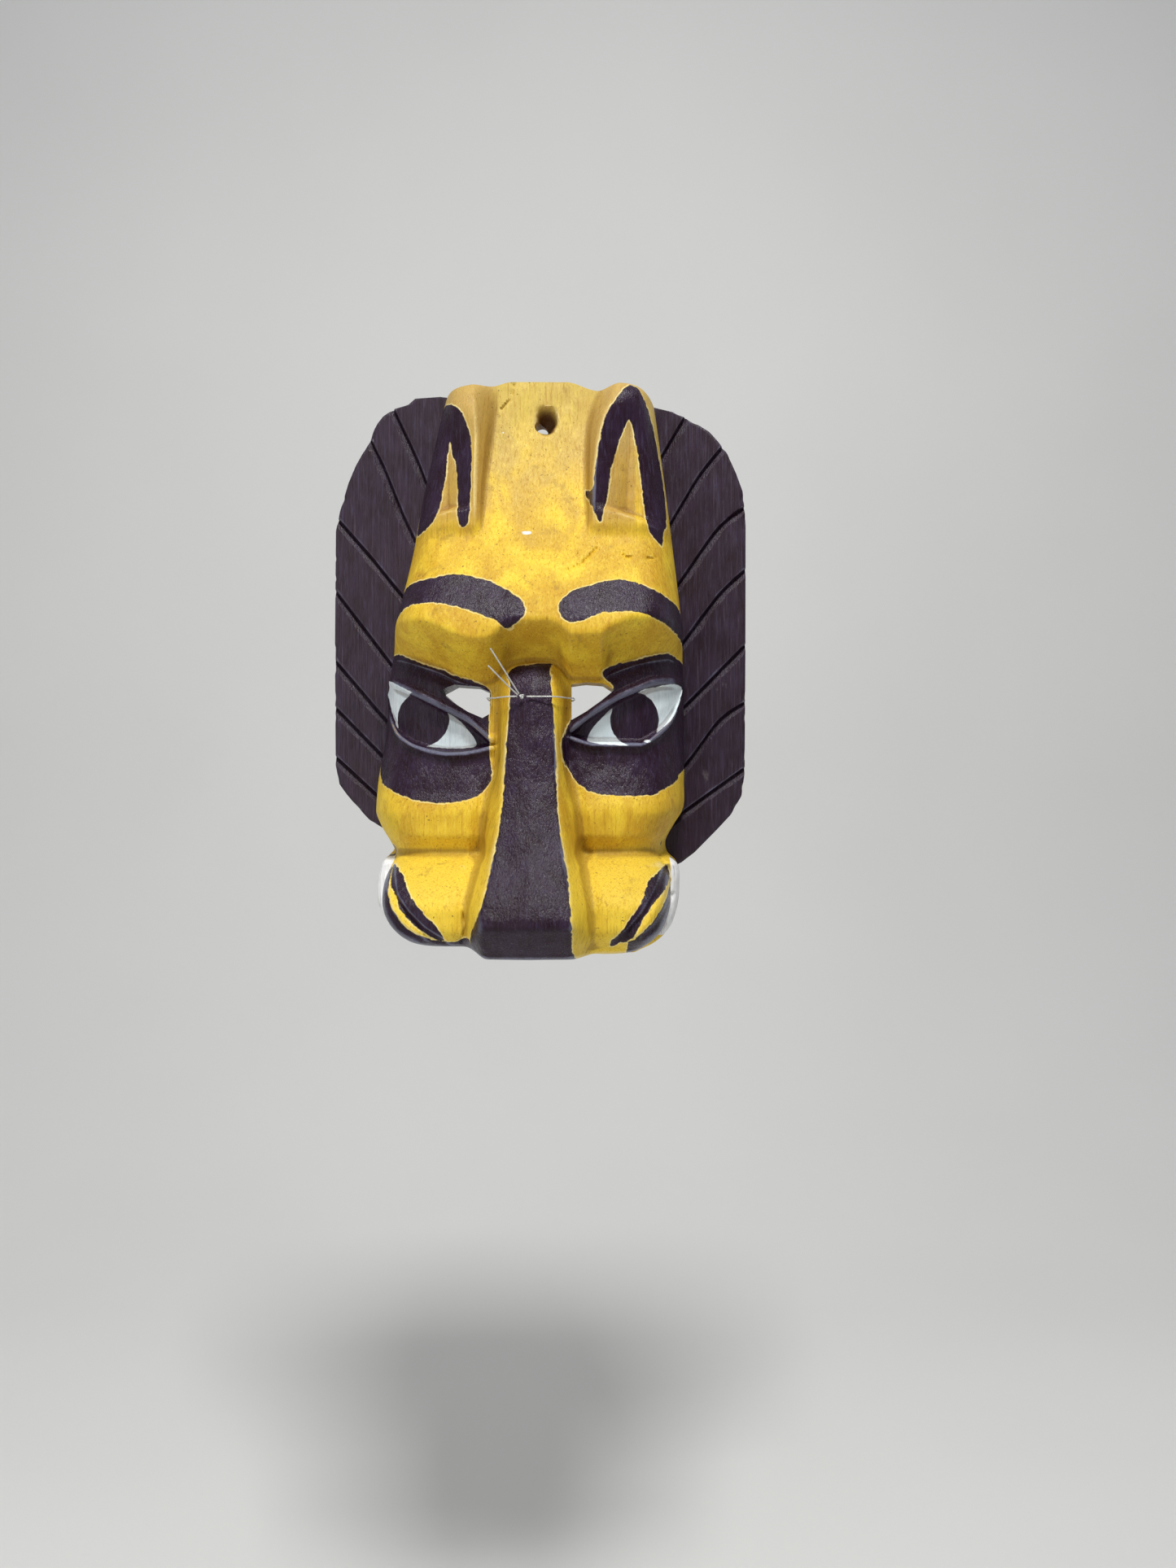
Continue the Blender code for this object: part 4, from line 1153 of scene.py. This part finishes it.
GOUGE_WANDER, GOUGE_STAGGER = 3.0, 7.0

# ---- the face block ----
BEHIND = -5.0  # cutters start this far behind the back, so that they pass through it
SLIT_REACH = (15, 90)
HOLE_REACH = 60
left_outline = [*MANE_LEFT, *reversed(inner_edge(LEFT_EDGE, -1, MANE_LEFT_SPAN))]
right_outline = [*MANE_RIGHT, *reversed(inner_edge(RIGHT_EDGE, 1, MANE_RIGHT_SPAN))]
left_nails = nail_places(LEFT_EDGE, -1)
right_nails = nail_places(RIGHT_EDGE, 1)

block = relief_solid(
    "face_carved", face_columns, face_heights(), fine_depth, 0.0, edge_drop, BLOCK_WALL,
)
hollow_heights = np.linspace(HOLLOW_TOP, HOLLOW_FOOT, HOLLOW_ROWS)
cut(block, [
    relief_solid("hollow", hollow_columns, hollow_heights, gouged_depth, BEHIND),
    prism("slit_left", EYE_SLIT_LEFT, *SLIT_REACH),
    prism("slit_right", EYE_SLIT_RIGHT, *SLIT_REACH),
    round_bar("hole", ((BEHIND, HOLE_RADIUS), (HOLE_REACH, HOLE_RADIUS)), (0, 0)),
    prism("rebate_left", grown(left_outline, GAP), BEHIND, BOARD + GAP),
    prism("rebate_right", grown(right_outline, GAP), BEHIND, BOARD + GAP),
    *[nail_hole(f"block_hole_{i}", place) for i, place in enumerate(left_nails + right_nails)],
])
smooth(block.data, BLOCK_SMOOTH)


def any_outline(x, z, outlines):
    """Depth inside the nearest of several outlines."""
    return np.max([depth_inside(x, z, outline) for outline in outlines], axis=0)


def black_and_teeth(x, deep, z):
    """Where the black coat and the white tooth bands lie, positive inside."""
    muzzle = muzzle_depth(x, z) - jaw_depth(x, z) - MUZZLE_CLEAR
    before_jaw = deep - JAW_DEPTH - MUZZLE_CLEAR
    above_foot = z - TOOTH_FOOT
    face = any_outline(x, z, (*BROWS, *EYE_PATCHES, *EAR_PAINT, *NOSTRIL_PAINT))
    on_front = np.maximum(before_jaw, z - along(FOOT_LINE, x) - MUZZLE_CLEAR)
    nose = np.minimum(depth_inside(x, z, NOSE_PAINT), on_front)
    lip = any_outline(x, z, LIP_PAINT)
    shadow_line = np.minimum(deep - TOOTH_LOW + SHADOW_LINE, TOOTH_LOW - deep)
    beside_lip = np.maximum(np.minimum(muzzle, before_jaw), np.minimum(shadow_line, above_foot))
    dark = np.max([face, nose, np.minimum(lip, beside_lip)], axis=0)
    return dark, np.min([lip, -muzzle, deep - TOOTH_LOW, above_foot], axis=0)


def eye_whites(x, z):
    """Where the eyeballs, their irises left out, and the white spots lie, positive inside."""
    white = any_outline(x, z, EYE_OPENINGS)
    for centre, half in IRISES:
        white = np.minimum(white, (turn((x, z), centre, half) - 1) * half[0])
    for centre, half in WHITE_SPOTS:
        white = np.maximum(white, (1 - turn((x, z), centre, half)) * half[1])
    return white


def ear_wear(x, z):
    """Rubbed inner walls and tips of the ears, from 0 to 1."""
    left, right = (
        fade(x, along(lines["foot"], z), along(lines["crest"], z)) for lines in (EAR_LEFT, EAR_RIGHT)
    )
    wall = np.maximum(4 * left * (1 - 0.75 * left), 4 * right * (1 - 0.75 * right))
    wall = wall * fade(z, *EAR_RUBBED_FOOT) * (x > EAR_RUBBED[0]) * (x < EAR_RUBBED[1])
    tip = fade(z, *EAR_TIP) * np.maximum(left, right)
    return np.clip(np.maximum(wall, tip), 0, 1)


def worn_front(x, z):
    """1 on the front and 0 on the steep sides and at the foot, which get no worn edges, painted highlight
    or painted crease shade.
    """
    from_edge = np.minimum(x - along(LEFT_EDGE, z), along(RIGHT_EDGE, z) - x)
    from_foot = z - along(FOOT_LINE, x)
    return fade(from_edge, EDGE_BAND - 2, EDGE_BAND + 3) * fade(from_foot, 1.5, 5)


def bare_faces(mesh):
    """Faces of the back and of the hollow, which carry no paint."""
    x, deep, z = places(mesh.polygons, "center")
    hollow = gouged_depth(x, z) * ((z < HOLLOW_TOP + 1) & (z > HOLLOW_FOOT - 1))
    inside = (hollow > 1) & (fine_depth(x, z) - deep > np.abs(deep - hollow))
    faces_back = (vectors(mesh.polygons, "normal")[:, 1] > 0.7) & (deep < BOARD + 1)
    return inside | faces_back


def paint_block(mesh):
    """Writes where each coat of paint lies, the worn edges with painted highlight, the painted crease
    shade and the bare wood.
    """
    x, deep, z = places(mesh.vertices, "co")
    dark, tooth = black_and_teeth(x, deep, z)
    front = worn_front(x, z)
    for name, values in (
        # pit round the hanging hole: dirty bare wood and painted shade
        ("pit", np.maximum(1 - turn((x, z), PIT_CENTRE, PIT_HALF), 0)),
        ("ear_wall", ear_wear(x, z)),
        ("dark", dark),
        ("eye", eye_whites(x, z)),
        ("tooth", tooth),
        ("scuff", np.max([fade(turn((x, z), *spot), *SCUFF_FADE) for spot in GREY_SCUFFS], axis=0)),
        # raised edges: worn paint and painted highlight
        ("wear_and_highlight", hollowness(fine_depth, x, z, WEAR_AND_HIGHLIGHT_REACH) * front),
        # creases: painted shade
        ("crease", hollowness(carved_depth, x, z, CREASE_REACH) * front),
    ):
        write_attribute(mesh, name, "POINT", values)
    write_attribute(mesh, "bare", "FACE", bare_faces(mesh))


paint_block(block.data)
block.data.materials.clear()
block.data.materials.append(carved_finish())
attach(block, "root")
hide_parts("face_block")

# ---- mane boards ----
mane_paint = mane_finish()
for name, edge, side, outline, grooves, span, nails in (
    ("mane_left", LEFT_EDGE, -1, MANE_LEFT, GROOVES_LEFT, MANE_LEFT_SPAN, left_nails),
    ("mane_right", RIGHT_EDGE, 1, MANE_RIGHT, GROOVES_RIGHT, MANE_RIGHT_SPAN, right_nails),
):
    board = mane_board(name, edge, side, outline, grooves, span, nails)
    board.data.materials.clear()
    board.data.materials.append(mane_paint)
    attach(board, "root")
    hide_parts(name)

# ---- nails: the CAD shapes stay, with a better metal ----
steel = steel_finish()
for side in ("left", "right"):
    for level in ("top", "middle", "foot"):
        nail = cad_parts[f"nail_{side}_{level}"]
        nail.data.materials.clear()
        nail.data.materials.append(steel)


# ---- nylon tie ----
def line_piece(name, node, route):
    """Round nylon line along a route, standing for a CAD node."""
    curve = bpy.data.curves.new(name, "CURVE")
    curve.dimensions = "3D"
    curve.bevel_depth = LINE_RADIUS * MM
    curve.bevel_resolution = 3
    curve.use_fill_caps = True
    spline = curve.splines.new("POLY")
    spline.points.add(len(route) - 1)
    for point, (x, depth, z) in zip(spline.points, route):
        point.co = (x * MM, -depth * MM, z * MM, 1)
    curve.materials.append(nylon)
    piece = new_object(name, curve)
    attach(piece, "root")
    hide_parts(node)


def knot_route():
    """Overhand knot: a small trefoil round the middle of the CAD knot."""
    turns = np.linspace(0, 2 * math.pi, KNOT_POINTS)
    radius = (KNOT_RADIUS - 1.15 * LINE_RADIUS) / 3
    x = KNOT_AT[0] + radius * (np.sin(turns) + 2 * np.sin(2 * turns))
    z = KNOT_AT[2] + radius * (np.cos(turns) - 2 * np.cos(2 * turns))
    depth = KNOT_AT[1] - KNOT_SWING * np.sin(3 * turns)
    return np.stack([x, depth, z], axis=-1)


KNOT_POINTS = 61
KNOT_SWING = 0.55  # how far the knot's line swings in and out
nylon = nylon_finish()
for node, ending, route in (
    ("tie_loop", "line", rounded_line(TIE_ROUTE)),
    ("tie_knot", "wound", knot_route()),
    ("tie_tail_long", "line", rounded_line(TAIL_LONG)),
    ("tie_tail_short", "line", rounded_line(TAIL_SHORT)),
):
    line_piece(f"{node}_{ending}", node, route)


# ---- studio, in metres ----
def sweep():
    """Pale paper sweep: a floor that curves up into the backdrop."""
    profile = [(FLOOR_FRONT, FLOOR_Z)]
    for i in range(SWEEP_STEPS + 1):
        turned = math.pi / 2 * i / SWEEP_STEPS
        profile.append((
            BACKDROP_Y - SWEEP_RADIUS * (1 - math.sin(turned)),
            FLOOR_Z + SWEEP_RADIUS * (1 - math.cos(turned)),
        ))
    profile.append((BACKDROP_Y, BACKDROP_TOP))
    points = [(side * SWEEP_HALF, y, z) for y, z in profile for side in (-1, 1)]
    faces = [(i, i + 1, i + 3, i + 2) for i in range(0, len(points) - 2, 2)]
    mesh = bpy.data.meshes.new("paper_sweep")
    mesh.from_pydata(points, [], faces)
    mesh.shade_smooth()
    mesh.materials.append(paper_finish())
    paper = new_object("paper_sweep", mesh)


def area_light(name, location, target, size, power):
    """Soft rectangular lamp aimed at a point."""
    data = bpy.data.lights.new(name, "AREA")
    data.shape = "RECTANGLE"
    data.size, data.size_y = size
    data.energy = power
    lamp = new_object(name, data)
    lamp.location = location
    lamp.rotation_euler = (Vector(target) - Vector(location)).to_track_quat("-Z", "Y").to_euler()


FLOOR_Z, FLOOR_FRONT, BACKDROP_Y, BACKDROP_TOP = -0.62, -2.2, 0.9, 2.2
SWEEP_RADIUS, SWEEP_STEPS, SWEEP_HALF = 0.5, 16, 2.5
CENTRE = (0, -0.04, -0.11)
KEY_POWER, FILL_POWER, WORLD_POWER = 13.5, 3.5, 0.30

sweep()
area_light("key", (0.08, -0.60, 0.90), CENTRE, (0.34, 0.24), KEY_POWER)
area_light("fill", (-0.7, -0.9, -0.05), CENTRE, (0.9, 0.9), FILL_POWER)

world = bpy.data.worlds.new("studio")
world.use_nodes = True
sky = world.node_tree.nodes["Background"]
sky.inputs["Color"].default_value = (0.90, 0.95, 1.0, 1)
sky.inputs["Strength"].default_value = WORLD_POWER
bpy.context.scene.world = world
bpy.context.scene.view_settings.view_transform = "Standard"  # keeps the paints saturated

SENSOR, LENS = 36, 26.902  # in millimetres, a phone's wide view
camera_data = bpy.data.cameras.new("camera")
camera_data.sensor_width = SENSOR
camera_data.lens = LENS
camera = new_object("camera", camera_data)
camera.location = (0.0228, -0.600, -0.1735)
camera.rotation_euler = (math.radians(90), 0, 0)
bpy.context.scene.camera = camera
